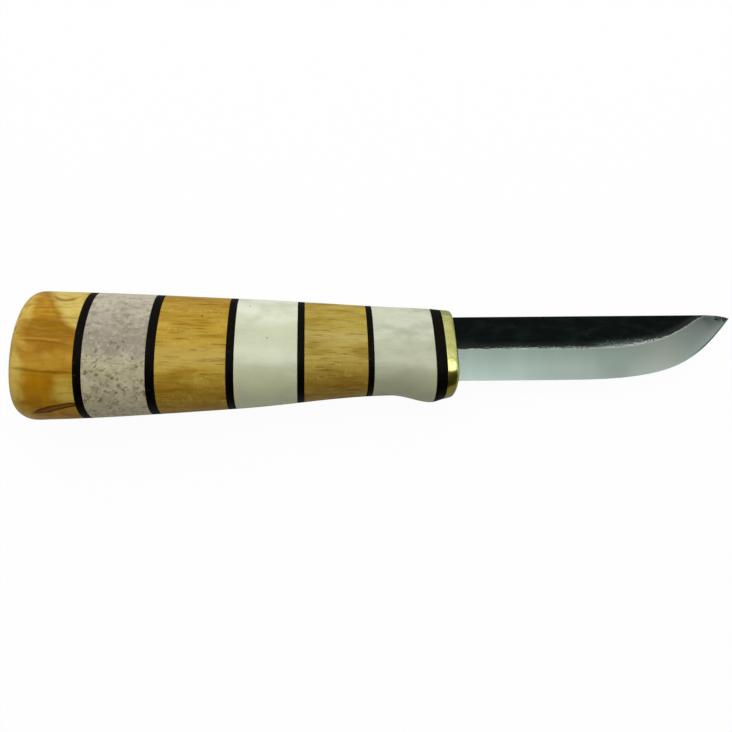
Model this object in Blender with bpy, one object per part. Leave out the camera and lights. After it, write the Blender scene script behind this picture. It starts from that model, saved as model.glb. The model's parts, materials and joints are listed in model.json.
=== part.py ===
"""Puukko knife: a forged blade on a stick tang, in a stacked handle of birch, antler and black spacers.

The knife is drawn in its own axes and then laid on its side on the table:
X runs from the butt to the tip, with zero on the front face of the bolster;
Y runs from the cutting edge to the spine, with zero on the axis of the handle;
Z runs through the thickness of the blade, with zero in its middle.
"""

import math

import bmesh
import bpy
from mathutils import Matrix, Vector

MM = 0.001

# Blade
BLADE_LENGTH = 77.35 * MM
BLADE_THICKNESS = 3.6 * MM
EDGE_LAND = 0.12 * MM
HEEL_SPINE = 9.55 * MM
HEEL_EDGE = 7.45 * MM
SPINE_RISE = 1.4 * MM
SPINE_CHAMFER = 0.3 * MM
TIP_DROP = 0.45 * MM
TIP_DROP_LENGTH = 5.0 * MM
BEVEL_WIDTH = 8.0 * MM
BEVEL_WIDTH_AT_TIP = 4.0 * MM
EDGE_STRAIGHT = 30.35 * MM
EDGE_RISE = 0.31 * MM
BELLY_START_REACH = 28.0 * MM
BELLY_TIP_REACH = 18.3 * MM
TIP_ANGLE = math.radians(47.7)
BEVEL_FADE_POWER = 6.0

# Stick tang, forged from the same bar as the blade, and how deep its end sits in the butt block
TANG_IN_BUTT = 6.0 * MM
TANG_SIDE_STEP = 0.25 * MM
TANG_SHOULDER = 1.8 * MM
TANG_END_HEIGHT = 4.6 * MM
TANG_END_THICKNESS = 2.2 * MM
TANG_END_LEVEL = -0.5 * MM

# Lengths of the pieces of the handle, from the bolster back to the butt
BOLSTER_LENGTH = 3.05 * MM
SPACER_1_LENGTH = 2.7 * MM
FRONT_ANTLER_LENGTH = 15.45 * MM
SPACER_2_LENGTH = 1.45 * MM
FRONT_BIRCH_LENGTH = 15.6 * MM
SPACER_3_LENGTH = 1.65 * MM
MIDDLE_ANTLER_LENGTH = 15.1 * MM
SPACER_4_LENGTH = 1.8 * MM
MIDDLE_BIRCH_LENGTH = 16.4 * MM
SPACER_5_LENGTH = 2.05 * MM
GREY_ANTLER_LENGTH = 14.3 * MM
SPACER_6_LENGTH = 1.8 * MM
BUTT_LENGTH = 15.3 * MM

# Heights of the handle above (spine side) and below (edge side) its axis
BUTT_TOP = 16.1 * MM
BUTT_BOTTOM = 17.0 * MM
GRIP_TOP = 14.75 * MM
GRIP_BOTTOM = 14.4 * MM
NOTCH_TOP = 12.85 * MM
NOTCH_BOTTOM = 11.0 * MM
BELLY_TOP = 12.5 * MM
BELLY_BOTTOM = 12.85 * MM
BOLSTER_TOP = 12.2 * MM
BOLSTER_BOTTOM = 11.95 * MM

# Half thickness of the handle, and how far below its axis it is widest
BUTT_HALF = 11.75 * MM
GRIP_HALF = 9.55 * MM
BOLSTER_HALF = 6.9 * MM
BUTT_WIDEST = 1.1 * MM
GRIP_WIDEST = 3.0 * MM
NOTCH_WIDEST = 3.5 * MM
BOLSTER_WIDEST = 5.2 * MM

# Places of the finger notch and of the belly in front of it, along the front antler block
NOTCH_AHEAD_OF_SPACER = 5.3 * MM
BELLY_BEHIND_SPACER = 0.4 * MM

# Powers of the oval sections: two is an ellipse, less is slimmer, more is fuller
SPINE_SIDE_POWER = 1.65
EDGE_SIDE_POWER = 2.27
TANG_POWER = 6.0

# Roundings of the butt and of the bolster, and how far they turn in on the edge side
BUTT_ROUNDING = 4.0 * MM
BUTT_ROUNDING_AT_EDGE = 3.2 * MM
BOLSTER_ROUNDING = 1.1 * MM
BOLSTER_ROUNDING_AT_EDGE = 2.2 * MM

# Slot for the tang, and the fits
SLOT_HALF_HEIGHT = 5.0 * MM
SLOT_HALF_WIDTH = 2.6 * MM
SLOT_END_ROOM = 2.0 * MM
GLUE_LINE = 0.1 * MM
BOLSTER_FIT = 0.1 * MM

# At rest the knife lies on its side, rolled a little edge up, on its handle and the spine near the tip
REST_ROLL = math.radians(5.0)
BALANCE_POINT = -29.65 * MM

# Fineness of the meshes
RING_POINTS = 48
TANG_POINTS = 24
RING_SPACING = 3.2 * MM
ROUNDING_STEPS = 8
BELLY_STEPS = 26
TIP_STEPS = 10
SEARCH_STEPS = 50
SMOOTH_ANGLE = math.radians(35.0)


def lay_out(stack):
    """Gives the front and the rear face of each piece of the stack, glued one behind the other."""
    faces = {}
    front = 0.0
    for name, length in stack:
        faces[name] = (front, front - length)
        front -= length + GLUE_LINE
    return faces


FACES = lay_out((
    ("bolster", BOLSTER_LENGTH),
    ("spacer_1", SPACER_1_LENGTH),
    ("front_antler_block", FRONT_ANTLER_LENGTH),
    ("spacer_2", SPACER_2_LENGTH),
    ("front_birch_block", FRONT_BIRCH_LENGTH),
    ("spacer_3", SPACER_3_LENGTH),
    ("middle_antler_block", MIDDLE_ANTLER_LENGTH),
    ("spacer_4", SPACER_4_LENGTH),
    ("middle_birch_block", MIDDLE_BIRCH_LENGTH),
    ("spacer_5", SPACER_5_LENGTH),
    ("grey_antler_block", GREY_ANTLER_LENGTH),
    ("spacer_6", SPACER_6_LENGTH),
    ("butt_block", BUTT_LENGTH),
))

# Places along X that follow from the stack
BUTT_X = FACES["butt_block"][1]
GRIP_X = FACES["middle_antler_block"][1]
NOTCH_X = FACES["front_antler_block"][1] + NOTCH_AHEAD_OF_SPACER
BELLY_X = FACES["front_antler_block"][0] - BELLY_BEHIND_SPACER
BOLSTER_X = FACES["bolster"][1]
HEEL_X = GLUE_LINE
TANG_END_X = FACES["butt_block"][0] - TANG_IN_BUTT
SLOT_END_X = TANG_END_X - SLOT_END_ROOM

# Lines of the handle: top, bottom, half thickness and widest level, from the butt to the bolster
TOP_LINE = (
    (BUTT_X, BUTT_TOP),
    (GRIP_X, GRIP_TOP),
    (NOTCH_X, NOTCH_TOP),
    (BELLY_X, BELLY_TOP),
    (BOLSTER_X, BOLSTER_TOP),
)
BOTTOM_LINE = (
    (BUTT_X, BUTT_BOTTOM),
    (GRIP_X, GRIP_BOTTOM),
    (NOTCH_X, NOTCH_BOTTOM),
    (BELLY_X, BELLY_BOTTOM),
    (BOLSTER_X, BOLSTER_BOTTOM),
)
HALF_LINE = ((BUTT_X, BUTT_HALF), (GRIP_X, GRIP_HALF), (BOLSTER_X, BOLSTER_HALF))
WIDEST_LINE = (
    (BUTT_X, BUTT_WIDEST),
    (GRIP_X, GRIP_WIDEST),
    (NOTCH_X, NOTCH_WIDEST),
    (BOLSTER_X, BOLSTER_WIDEST),
)


def linear(hex_colour):
    """Gives the linear colour of an sRGB hex value."""
    channels = [int(hex_colour[i:i + 2], 16) / 255.0 for i in (1, 3, 5)]
    return [c / 12.92 if c <= 0.04045 else ((c + 0.055) / 1.055) ** 2.4 for c in channels] + [1.0]


def finish(name, hex_colour, roughness, metallic=0.0):
    """Makes the plain material of one piece."""
    material = bpy.data.materials.new(name)
    material.use_nodes = True
    shader = material.node_tree.nodes["Principled BSDF"]
    shader.inputs["Base Color"].default_value = linear(hex_colour)
    shader.inputs["Roughness"].default_value = roughness
    shader.inputs["Metallic"].default_value = metallic
    material.diffuse_color = linear(hex_colour)
    return material


def birch(name):
    """Makes an oiled birch."""
    return finish(name, "#B08A38", 0.35)


def white_antler(name):
    """Makes a polished white antler."""
    return finish(name, "#CBCDB4", 0.4)


def black_spacer(name):
    """Makes a pressed black leather."""
    return finish(name, "#14120C", 0.5)


def smooth_line(knots, x):
    """Reads a smooth line at x: level at its first knot and at crests, straight on past its last knot."""
    xs = [knot[0] for knot in knots]
    ys = [knot[1] for knot in knots]
    slopes = [(y1 - y0) / (x1 - x0) for x0, x1, y0, y1 in zip(xs, xs[1:], ys, ys[1:])]
    if x >= xs[-1]:
        return ys[-1] + slopes[-1] * (x - xs[-1])
    tangents = [0.0]
    for before, after in zip(slopes, slopes[1:]):
        same_way = before * after > 0.0
        tangents.append(2.0 * before * after / (before + after) if same_way else 0.0)
    tangents.append(slopes[-1])
    i = max(k for k in range(len(slopes)) if k == 0 or xs[k] <= x)
    width = xs[i + 1] - xs[i]
    s = (x - xs[i]) / width
    ease = s * s * (3.0 - 2.0 * s)
    bend = width * (tangents[i] * s * (1.0 - s) ** 2 - tangents[i + 1] * s * s * (1.0 - s))
    return ys[i] + (ys[i + 1] - ys[i]) * ease + bend


def oval(x, level, up, down, half, up_power, down_power, count):
    """Gives a ring of points round an oval that stands across X, widest at the given level."""
    ring = []
    for i in range(count):
        angle = 2.0 * math.pi * i / count
        rise, side = math.sin(angle), math.cos(angle)
        reach, power = (up, up_power) if rise >= 0.0 else (down, down_power)
        y = level + math.copysign(reach * abs(rise) ** (2.0 / power), rise)
        z = math.copysign(half * abs(side) ** (2.0 / power), side)
        ring.append(Vector((x, y, z)))
    return ring


def handle_ring(x, inset=0.0, inset_at_edge=0.0):
    """Gives the section of the handle at x, or one that lies inside it, by another inset on the edge side."""
    widest = smooth_line(WIDEST_LINE, x)
    up = smooth_line(TOP_LINE, x) + widest - inset
    down = smooth_line(BOTTOM_LINE, x) - widest - inset_at_edge
    half = smooth_line(HALF_LINE, x) - inset
    return oval(x, -widest, up, down, half, SPINE_SIDE_POWER, EDGE_SIDE_POWER, RING_POINTS)


def tang_section(x):
    """Gives the level, half height and half thickness of the tang at x."""
    root_bottom = BEVEL_WIDTH - HEEL_EDGE
    root_top = HEEL_SPINE - TANG_SHOULDER
    share = (HEEL_X - x) / (HEEL_X - TANG_END_X)
    level = (1.0 - share) * (root_top + root_bottom) / 2.0 + share * TANG_END_LEVEL
    height = (1.0 - share) * (root_top - root_bottom) + share * TANG_END_HEIGHT
    root_thickness = BLADE_THICKNESS - 2.0 * TANG_SIDE_STEP
    thickness = (1.0 - share) * root_thickness + share * TANG_END_THICKNESS
    return level, height / 2.0, thickness / 2.0


def tang_ring(x, margin=0.0, at=None, count=RING_POINTS):
    """Gives the outline of the tang at x, or one that stands off it by a margin."""
    level, half_height, half = tang_section(x if at is None else at)
    half_height += margin
    return oval(x, level, half_height, half_height, half + margin, TANG_POWER, TANG_POWER, count)


def slot_ring(x, margin=0.0):
    """Gives the outline of the slot for the tang at x, or one inside it by a margin."""
    level = tang_section(x)[0]
    half_height = SLOT_HALF_HEIGHT - margin
    half_width = SLOT_HALF_WIDTH - margin
    return oval(x, level, half_height, half_height, half_width, TANG_POWER, TANG_POWER, RING_POINTS)


def spaced(first, last, spacing):
    """Gives places from first to last, no further apart than the spacing."""
    steps = max(1, math.ceil(abs(last - first) / spacing))
    return [first + (last - first) * i / steps for i in range(steps + 1)]


def add_piece(name, bm, *materials):
    """Turns a bmesh into a named object with its materials."""
    bmesh.ops.recalc_face_normals(bm, faces=bm.faces)
    mesh = bpy.data.meshes.new(name)
    bm.to_mesh(mesh)
    bm.free()
    for material in materials:
        mesh.materials.append(material)
    mesh.shade_smooth()
    mesh.set_sharp_from_angle(angle=SMOOTH_ANGLE)
    piece = bpy.data.objects.new(name, mesh)
    bpy.context.scene.collection.objects.link(piece)
    return piece


def skin(bm, rings):
    """Joins each ring of vertices to the next one with a band of faces."""
    for near, far in zip(rings, rings[1:]):
        for i in range(len(near)):
            bm.faces.new((near[i - 1], near[i], far[i], far[i - 1]))


def add_rings(bm, rings):
    """Puts rings of points in a bmesh as rings of vertices."""
    return [[bm.verts.new(point) for point in ring] for ring in rings]


def bored_piece(name, outer_rings, rear_bore, front_bore, material):
    """Makes a piece that the tang runs right through."""
    bm = bmesh.new()
    rings = add_rings(bm, [*outer_rings, rear_bore, front_bore])
    skin(bm, [*rings, rings[0]])
    return add_piece(name, bm, material)


def capped_piece(name, point_rings, material):
    """Makes a piece from rings that run from one end cap to the other."""
    bm = bmesh.new()
    rings = add_rings(bm, point_rings)
    skin(bm, rings)
    bm.faces.new(rings[0])
    bm.faces.new(rings[-1])
    return add_piece(name, bm, material)


def handle_slice(name, material):
    """Makes one block or spacer of the stack, with the slot for the tang."""
    front, rear = FACES[name]
    outer = [handle_ring(x) for x in spaced(front, rear, RING_SPACING)]
    return bored_piece(name, outer, slot_ring(rear), slot_ring(front), material)


def rounded_rings(face, inward, depth, depth_at_edge):
    """Gives the sections of the handle over a rounded rim, from where it starts to the face that it ends in."""
    rings = []
    for i in range(ROUNDING_STEPS + 1):
        angle = math.pi / 2.0 * i / ROUNDING_STEPS
        x = face + inward * depth * (1.0 - math.sin(angle))
        turned_in = 1.0 - math.cos(angle)
        rings.append(handle_ring(x, depth * turned_in, depth_at_edge * turned_in))
    return rings


def bolster():
    """Makes the brass end plate, rounded at its front and fitted close round the tang."""
    front, rear = FACES["bolster"]
    outer = rounded_rings(front, -1.0, BOLSTER_ROUNDING, BOLSTER_ROUNDING_AT_EDGE)[::-1]
    outer.append(handle_ring(rear))
    brass = finish("brass", "#B6B872", 0.25, 1.0)
    return bored_piece("bolster", outer, tang_ring(rear, BOLSTER_FIT), tang_ring(front, BOLSTER_FIT), brass)


def butt_block():
    """Makes the rounded end of the handle, where the slot for the tang ends."""
    front, rear = FACES["butt_block"]
    rings = [slot_ring(SLOT_END_X), slot_ring(front)]
    rings += [handle_ring(x) for x in spaced(front, rear + BUTT_ROUNDING, RING_SPACING)]
    rings += rounded_rings(rear, 1.0, BUTT_ROUNDING, BUTT_ROUNDING_AT_EDGE)[1:]
    return capped_piece("butt_block", rings, birch("curly_birch"))


def tang_epoxy():
    """Makes the cup of set epoxy that fills the slot round the tang."""
    front = FACES["spacer_1"][0]
    rings = [
        tang_ring(TANG_END_X - GLUE_LINE, GLUE_LINE, at=TANG_END_X),
        tang_ring(front, GLUE_LINE),
        slot_ring(front, GLUE_LINE),
        slot_ring(SLOT_END_X + GLUE_LINE, GLUE_LINE),
    ]
    return capped_piece("tang_epoxy", rings, finish("epoxy", "#C9B57A", 0.3))


def spine_height(x):
    """Gives the height of the spine at x: straight, then dropping to the tip."""
    past = max(0.0, x - (BLADE_LENGTH - TIP_DROP_LENGTH)) / TIP_DROP_LENGTH
    return HEEL_SPINE + SPINE_RISE * x / BLADE_LENGTH - TIP_DROP * past * past


def edge_at(t):
    """Gives the point of the curved edge at t, from zero where it starts to one at the tip, and its normal."""
    start = Vector((EDGE_STRAIGHT, EDGE_RISE - HEEL_EDGE))
    tip = Vector((BLADE_LENGTH, spine_height(BLADE_LENGTH)))
    lead = Vector((EDGE_STRAIGHT, EDGE_RISE)).normalized() * BELLY_START_REACH
    arrive = Vector((math.cos(TIP_ANGLE), math.sin(TIP_ANGLE))) * BELLY_TIP_REACH
    a, b, c = lead, tip - arrive - start - lead, arrive
    point = start + a * (3.0 * t * (1.0 - t) ** 2 + 3.0 * t * t * (1.0 - t) + t ** 3)
    point += b * (3.0 * t * t * (1.0 - t) + t ** 3) + c * t ** 3
    along = (a * (1.0 - t) ** 2 + b * 2.0 * t * (1.0 - t) + c * t * t).normalized()
    return point, Vector((-along.y, along.x))


def search(is_below, low, high):
    """Halves a range until it closes on the place where a test stops being true."""
    for _ in range(SEARCH_STEPS):
        middle = (low + high) / 2.0
        if is_below(middle):
            low = middle
        else:
            high = middle
    return low


def reach_to_spine(point, normal):
    """Gives the distance from a point of the edge, along its normal, to the spine."""
    def is_below(distance):
        place = point + normal * distance
        return place.y < spine_height(place.x)
    return search(is_below, 0.0, BLADE_LENGTH)


def bevel_width(t):
    """Gives the width of the ground bevel at t along the curved edge."""
    return BEVEL_WIDTH - (BEVEL_WIDTH - BEVEL_WIDTH_AT_TIP) * t ** BEVEL_FADE_POWER


def bevel_meets_spine():
    """Gives the place along the curved edge where the bevel reaches the spine."""
    return search(lambda t: reach_to_spine(*edge_at(t)) > bevel_width(t), 0.0, 1.0)


def blade_side(bm, side):
    """Adds one face of the blade, and gives its edge and spine vertices from the heel to the tip."""
    half = BLADE_THICKNESS / 2.0
    land = EDGE_LAND / 2.0

    def vertex(x, y, z):
        return bm.verts.new((x, y, side * z))

    def spine_pair(x, y, z):
        chamfer = SPINE_CHAMFER * z / half
        return vertex(x, y - chamfer, z), vertex(x, y, z - chamfer)

    heel_edge = EDGE_RISE * HEEL_X / EDGE_STRAIGHT - HEEL_EDGE
    edge = [vertex(HEEL_X, heel_edge, land)]
    grind = [vertex(HEEL_X, heel_edge + BEVEL_WIDTH, half)]
    spine = [spine_pair(HEEL_X, spine_height(HEEL_X), half)]
    meet = bevel_meets_spine()
    belly = [meet * i / BELLY_STEPS for i in range(BELLY_STEPS)]
    for t in belly:
        point, normal = edge_at(t)
        inner = point + normal * bevel_width(t)
        edge.append(vertex(*point, land))
        grind.append(vertex(*inner, half))
    flat_count = len(grind)
    for i in range(TIP_STEPS):
        t = meet + (1.0 - meet) * i / TIP_STEPS
        point, normal = edge_at(t)
        reach = reach_to_spine(point, normal)
        inner = point + normal * reach
        depth = land + (half - land) * reach / bevel_width(t)
        edge.append(vertex(*point, land))
        spine.append(spine_pair(inner.x, inner.y, depth))
        grind.append(spine[-1][0])
    tip = vertex(*edge_at(1.0)[0], land)

    bevel = [(edge[i], edge[i + 1], grind[i + 1], grind[i]) for i in range(len(edge) - 1)]
    bevel.append((edge[-1], tip, grind[-1]))
    for corners in bevel:
        bm.faces.new(corners).material_index = 1
    bm.faces.new([*grind[:flat_count + 1], spine[0][0]])
    for near, far in zip(spine, spine[1:]):
        bm.faces.new((near[0], far[0], far[1], near[1]))
    bm.faces.new((spine[-1][0], tip, spine[-1][1]))
    heel = [edge[0], grind[0], *spine[0]]
    return [*edge, tip], [*(pair[1] for pair in spine), tip], heel


def blade():
    """Makes the blade and its tang: two ground faces joined by the edge, the spine and the heel."""
    bm = bmesh.new()
    near_edge, near_spine, near_heel = blade_side(bm, 1.0)
    far_edge, far_spine, far_heel = blade_side(bm, -1.0)
    for near, far, material_index in ((near_edge, far_edge, 1), (near_spine, far_spine, 0)):
        for i in range(len(near) - 1):
            bm.faces.new((near[i], near[i + 1], far[i + 1], far[i])).material_index = material_index

    tang = add_rings(bm, [tang_ring(x, count=TANG_POINTS) for x in (HEEL_X, TANG_END_X)])
    skin(bm, tang)
    bm.faces.new(tang[-1])
    heel = near_heel + far_heel[::-1]
    rims = [bm.edges.get((ring[i - 1], ring[i])) for ring in (heel, tang[0]) for i in range(len(ring))]
    bmesh.ops.triangle_fill(bm, use_beauty=True, edges=rims)
    scale = finish("forge_scale", "#121614", 0.5, 0.6)
    ground = finish("ground_steel", "#9AA99F", 0.35, 1.0)
    return add_piece("blade", bm, scale, ground)


def lower_outline(points):
    """Gives the convex outline of the points from below, from the lowest X to the highest."""
    outline = []
    for x, z in sorted((point.x, point.z) for point in points):
        while len(outline) > 1:
            (x0, z0), (x1, z1) = outline[-2:]
            if (x1 - x0) * (z - z0) > (z1 - z0) * (x - x0):
                break
            outline.pop()
        outline.append((x, z))
    return outline


def resting_place(pieces):
    """Gives the pose of the knife on the table, with the origin under the middle of the knife."""
    roll = Matrix.Rotation(-REST_ROLL, 4, "X")
    points = [roll @ vertex.co for piece in pieces for vertex in piece.data.vertices]
    outline = lower_outline(points)
    for (x0, z0), (x1, z1) in zip(outline, outline[1:]):
        if x0 <= BALANCE_POINT <= x1:
            slope = (z1 - z0) / (x1 - x0)
    pitch = Matrix.Rotation(math.atan(slope), 4, "Y")
    points = [pitch @ point for point in points]
    low = Vector(min(point[i] for point in points) for i in range(3))
    high = Vector(max(point[i] for point in points) for i in range(3))
    middle = (low + high) / 2.0
    return Matrix.Translation((-middle.x, -middle.y, -low.z)) @ pitch @ roll


def main():
    """Builds every piece and lays the knife down."""
    for old in list(bpy.data.objects):
        bpy.data.objects.remove(old, do_unlink=True)
    pieces = [
        blade(),
        bolster(),
        handle_slice("spacer_1", black_spacer("black_spacer_1")),
        handle_slice("front_antler_block", white_antler("front_antler")),
        handle_slice("spacer_2", black_spacer("black_spacer_2")),
        handle_slice("front_birch_block", birch("front_birch")),
        handle_slice("spacer_3", black_spacer("black_spacer_3")),
        handle_slice("middle_antler_block", white_antler("middle_antler")),
        handle_slice("spacer_4", black_spacer("black_spacer_4")),
        handle_slice("middle_birch_block", birch("middle_birch")),
        handle_slice("spacer_5", black_spacer("black_spacer_5")),
        handle_slice("grey_antler_block", finish("grey_antler", "#9F9682", 0.5)),
        handle_slice("spacer_6", black_spacer("black_spacer_6")),
        butt_block(),
        tang_epoxy(),
    ]
    rest = bpy.data.objects.new("knife_at_rest", None)
    bpy.context.scene.collection.objects.link(rest)
    rest.matrix_world = resting_place(pieces)
    for piece in pieces:
        piece.parent = rest


main()
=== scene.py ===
"""Puukko knife on a pale table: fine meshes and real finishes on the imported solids.

All shapes are made in the knife's own axes, in metres. X runs from the butt to the tip and is zero at the
front of the bolster. Y runs from the cutting edge to the spine. Z comes out of the near face of the blade.
"""

import json
import logging
import math
from collections.abc import Iterator
from dataclasses import dataclass, field
from enum import Enum
from typing import NamedTuple

import bmesh
import bpy
import numpy as np
from mathutils import Matrix, Vector, noise
from mathutils.geometry import convex_hull_2d


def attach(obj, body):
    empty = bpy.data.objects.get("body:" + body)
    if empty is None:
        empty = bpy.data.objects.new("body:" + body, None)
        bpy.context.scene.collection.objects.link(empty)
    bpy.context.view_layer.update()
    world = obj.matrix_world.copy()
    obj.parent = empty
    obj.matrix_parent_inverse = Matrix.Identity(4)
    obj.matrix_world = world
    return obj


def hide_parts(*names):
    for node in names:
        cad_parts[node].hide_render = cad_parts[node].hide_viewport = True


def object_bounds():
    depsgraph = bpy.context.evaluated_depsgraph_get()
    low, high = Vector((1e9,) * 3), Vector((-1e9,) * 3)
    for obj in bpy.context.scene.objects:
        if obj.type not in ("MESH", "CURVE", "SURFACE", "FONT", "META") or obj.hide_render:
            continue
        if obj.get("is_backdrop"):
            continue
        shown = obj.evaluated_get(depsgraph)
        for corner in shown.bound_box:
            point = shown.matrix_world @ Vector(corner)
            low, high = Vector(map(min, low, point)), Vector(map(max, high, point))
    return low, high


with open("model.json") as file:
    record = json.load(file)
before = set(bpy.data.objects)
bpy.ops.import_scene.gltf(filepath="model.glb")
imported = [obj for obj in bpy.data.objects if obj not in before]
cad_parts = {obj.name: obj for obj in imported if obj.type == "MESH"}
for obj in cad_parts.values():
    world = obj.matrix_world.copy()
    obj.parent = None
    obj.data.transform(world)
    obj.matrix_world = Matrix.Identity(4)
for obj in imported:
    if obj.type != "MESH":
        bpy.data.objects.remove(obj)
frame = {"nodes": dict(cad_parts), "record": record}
CAD_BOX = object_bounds()

LOG = logging.getLogger("puukko")
MM = 0.001
BODY = "root"

Span = tuple[float, float]
Triple = tuple[float, float, float]
Socket = bpy.types.NodeSocket
# What an input of a node gets: an output to link or a value to set
Feed = Socket | float | tuple
# The values of a node's own options by their names
Settings = dict[str, str]

# Corners of a solid that lie closer together than this along X belong to one outline
SAME_PLACE = 0.01 * MM
# Corners closer than this are one corner
WELD = 0.0005 * MM
# Outlines taller than this are the outside of the handle, and lower ones are the slot for the tang
SLIMMEST_HANDLE = 15 * MM


class Stack(Enum):
    """The pieces of the handle from the butt to the blade, by the names of their solids."""

    BUTT = "butt_block"
    BUTT_SPACER = "spacer_6"
    GREY_ANTLER = "grey_antler_block"
    GREY_SPACER = "spacer_5"
    MIDDLE_BIRCH = "middle_birch_block"
    MIDDLE_SPACER = "spacer_4"
    MIDDLE_ANTLER = "middle_antler_block"
    ANTLER_SPACER = "spacer_3"
    FRONT_BIRCH = "front_birch_block"
    FRONT_SPACER = "spacer_2"
    FRONT_ANTLER = "front_antler_block"
    BOLSTER_SPACER = "spacer_1"
    BOLSTER = "bolster"


class Glued(Enum):
    """The faces of a handle piece that lie against a neighbour."""

    BOTH = "both"
    FRONT = "front"
    REAR = "rear"


def linear(colour: str) -> tuple[float, float, float, float]:
    """Turns an sRGB hex colour into linear light.

    Args:
        colour: six hex digits after a hash sign.

    Returns:
        Red, green, blue and an alpha of one.
    """
    # The curve of the sRGB standard
    channels = [int(colour[start:start + 2], 16) / 255 for start in (1, 3, 5)]
    return (*[c / 12.92 if c <= 0.04045 else ((c + 0.055) / 1.055) ** 2.4 for c in channels], 1.0)


def smooth_curve(at: np.ndarray, knots: np.ndarray, values: np.ndarray) -> np.ndarray:
    """Reads a smooth curve through known values, a cubic between each two of them.

    Args:
        at: the places to read.
        knots: the places of the known values, rising.
        values: the known values, one row for each knot.

    Returns:
        One row for each place.
    """
    slopes = np.gradient(values, knots, axis=0)
    left = np.clip(np.searchsorted(knots, at, side="right") - 1, 0, len(knots) - 2)
    column = (-1,) + (1,) * (values.ndim - 1)
    width = (knots[left + 1] - knots[left]).reshape(column)
    step = (at - knots[left]).reshape(column) / width
    rest = 1 - step
    return (
        (1 + 2 * step) * rest ** 2 * values[left]
        + step * rest ** 2 * width * slopes[left]
        + (1 + 2 * rest) * step ** 2 * values[left + 1]
        - rest * step ** 2 * width * slopes[left + 1]
    )


def hand_rise(points: np.ndarray, size: float, depth: float) -> np.ndarray:
    """Gives the soft unevenness that hand work leaves on a surface.

    Args:
        points: places on the surface, one in each row.
        size: the usual width of a rise or a hollow.
        depth: the greatest rise.

    Returns:
        The rise at each place.
    """
    return np.array([noise.noise(Vector(point) / size) for point in points]) * depth


@dataclass(frozen=True)
class KnifeAxes:
    """The knife's own axes as it lies on the table.

    Args:
        to_world: turns the knife's axes into the scene's.
    """

    to_world: Matrix

    @classmethod
    def from_mounts(cls) -> "KnifeAxes":
        """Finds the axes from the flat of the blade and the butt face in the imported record.

        Returns:
            The axes, with X zero at the front of the bolster.
        """
        mounts = {mount["name"]: mount for mount in frame["record"]["mounts"]}
        out = Vector(mounts["blade_flat"]["axis"]).normalized()
        along = -Vector(mounts["butt_face"]["axis"]).normalized()
        turn = Matrix((along, out.cross(along).normalized(), out)).transposed()
        butt = Vector(mounts["butt_face"]["pos_m"])
        bolster = frame["nodes"][Stack.BOLSTER.value].data.vertices
        handle_length = max((vertex.co - butt).dot(along) for vertex in bolster)
        return cls(Matrix.Translation(butt + along * handle_length) @ turn.to_4x4())

    def solid(self, node: str) -> bmesh.types.BMesh:
        """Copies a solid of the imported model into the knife's axes.

        Args:
            node: the solid's name.

        Returns:
            A new mesh with one vertex for each corner.
        """
        copy = bmesh.new()
        copy.from_mesh(frame["nodes"][node].data)
        copy.transform(self.to_world.inverted())
        bmesh.ops.remove_doubles(copy, verts=copy.verts, dist=WELD)
        copy.normal_update()
        return copy

    def outlines(self, node: str) -> Iterator[np.ndarray]:
        """Splits the corners of a solid into the closed lines that stand across X, from the rear.

        Args:
            node: the solid's name.

        Yields:
            The corners of one line. Where two lines stand at one place, the outer one comes first.
        """
        copy = self.solid(node)
        corners = np.array(sorted(tuple(vertex.co) for vertex in copy.verts))
        copy.free()
        breaks = np.flatnonzero(np.diff(corners[:, 0]) > SAME_PLACE) + 1
        for group in np.split(corners, breaks):
            outer = convex_hull_2d([(z, y) for _, y, z in group])
            inner = np.setdiff1d(np.arange(len(group)), outer)
            yield group[outer]
            if len(inner):
                yield group[inner]


@dataclass(frozen=True)
class Outline:
    """A closed line across the knife, told by its radius at each angle about its middle.

    Args:
        x: its place along the knife.
        level: the height of its middle.
        angles: the angles of its corners, wrapped once past each end so that the line closes.
        radii: the distance of each corner from the middle.
    """

    x: float
    level: float
    angles: np.ndarray
    radii: np.ndarray

    @classmethod
    def through(cls, corners: np.ndarray) -> "Outline":
        """Makes the line that passes through corners.

        Args:
            corners: one corner in each row, in any order.

        Returns:
            The line.
        """
        heights = corners[:, 1]
        level = (heights.max() + heights.min()) / 2
        turns = np.arctan2(heights - level, corners[:, 2])
        order = np.argsort(turns)
        radii = np.hypot(heights - level, corners[:, 2])[order]
        wrapped = np.concatenate([turns[order] + wrap for wrap in (-math.tau, 0.0, math.tau)])
        return cls(corners[:, 0].mean(), level, wrapped, np.tile(radii, 3))

    def at(self, angles: np.ndarray) -> np.ndarray:
        """Gives the radius at each angle."""
        return smooth_curve(angles, self.angles, self.radii)

    def ring(self, angles: np.ndarray) -> np.ndarray:
        """Finds points of the line.

        Args:
            angles: the angles of the points.

        Returns:
            The points, one in each row.
        """
        radii = self.at(angles)
        heights = self.level + radii * np.sin(angles)
        return np.stack([np.full_like(angles, self.x), heights, radii * np.cos(angles)], axis=1)


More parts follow.
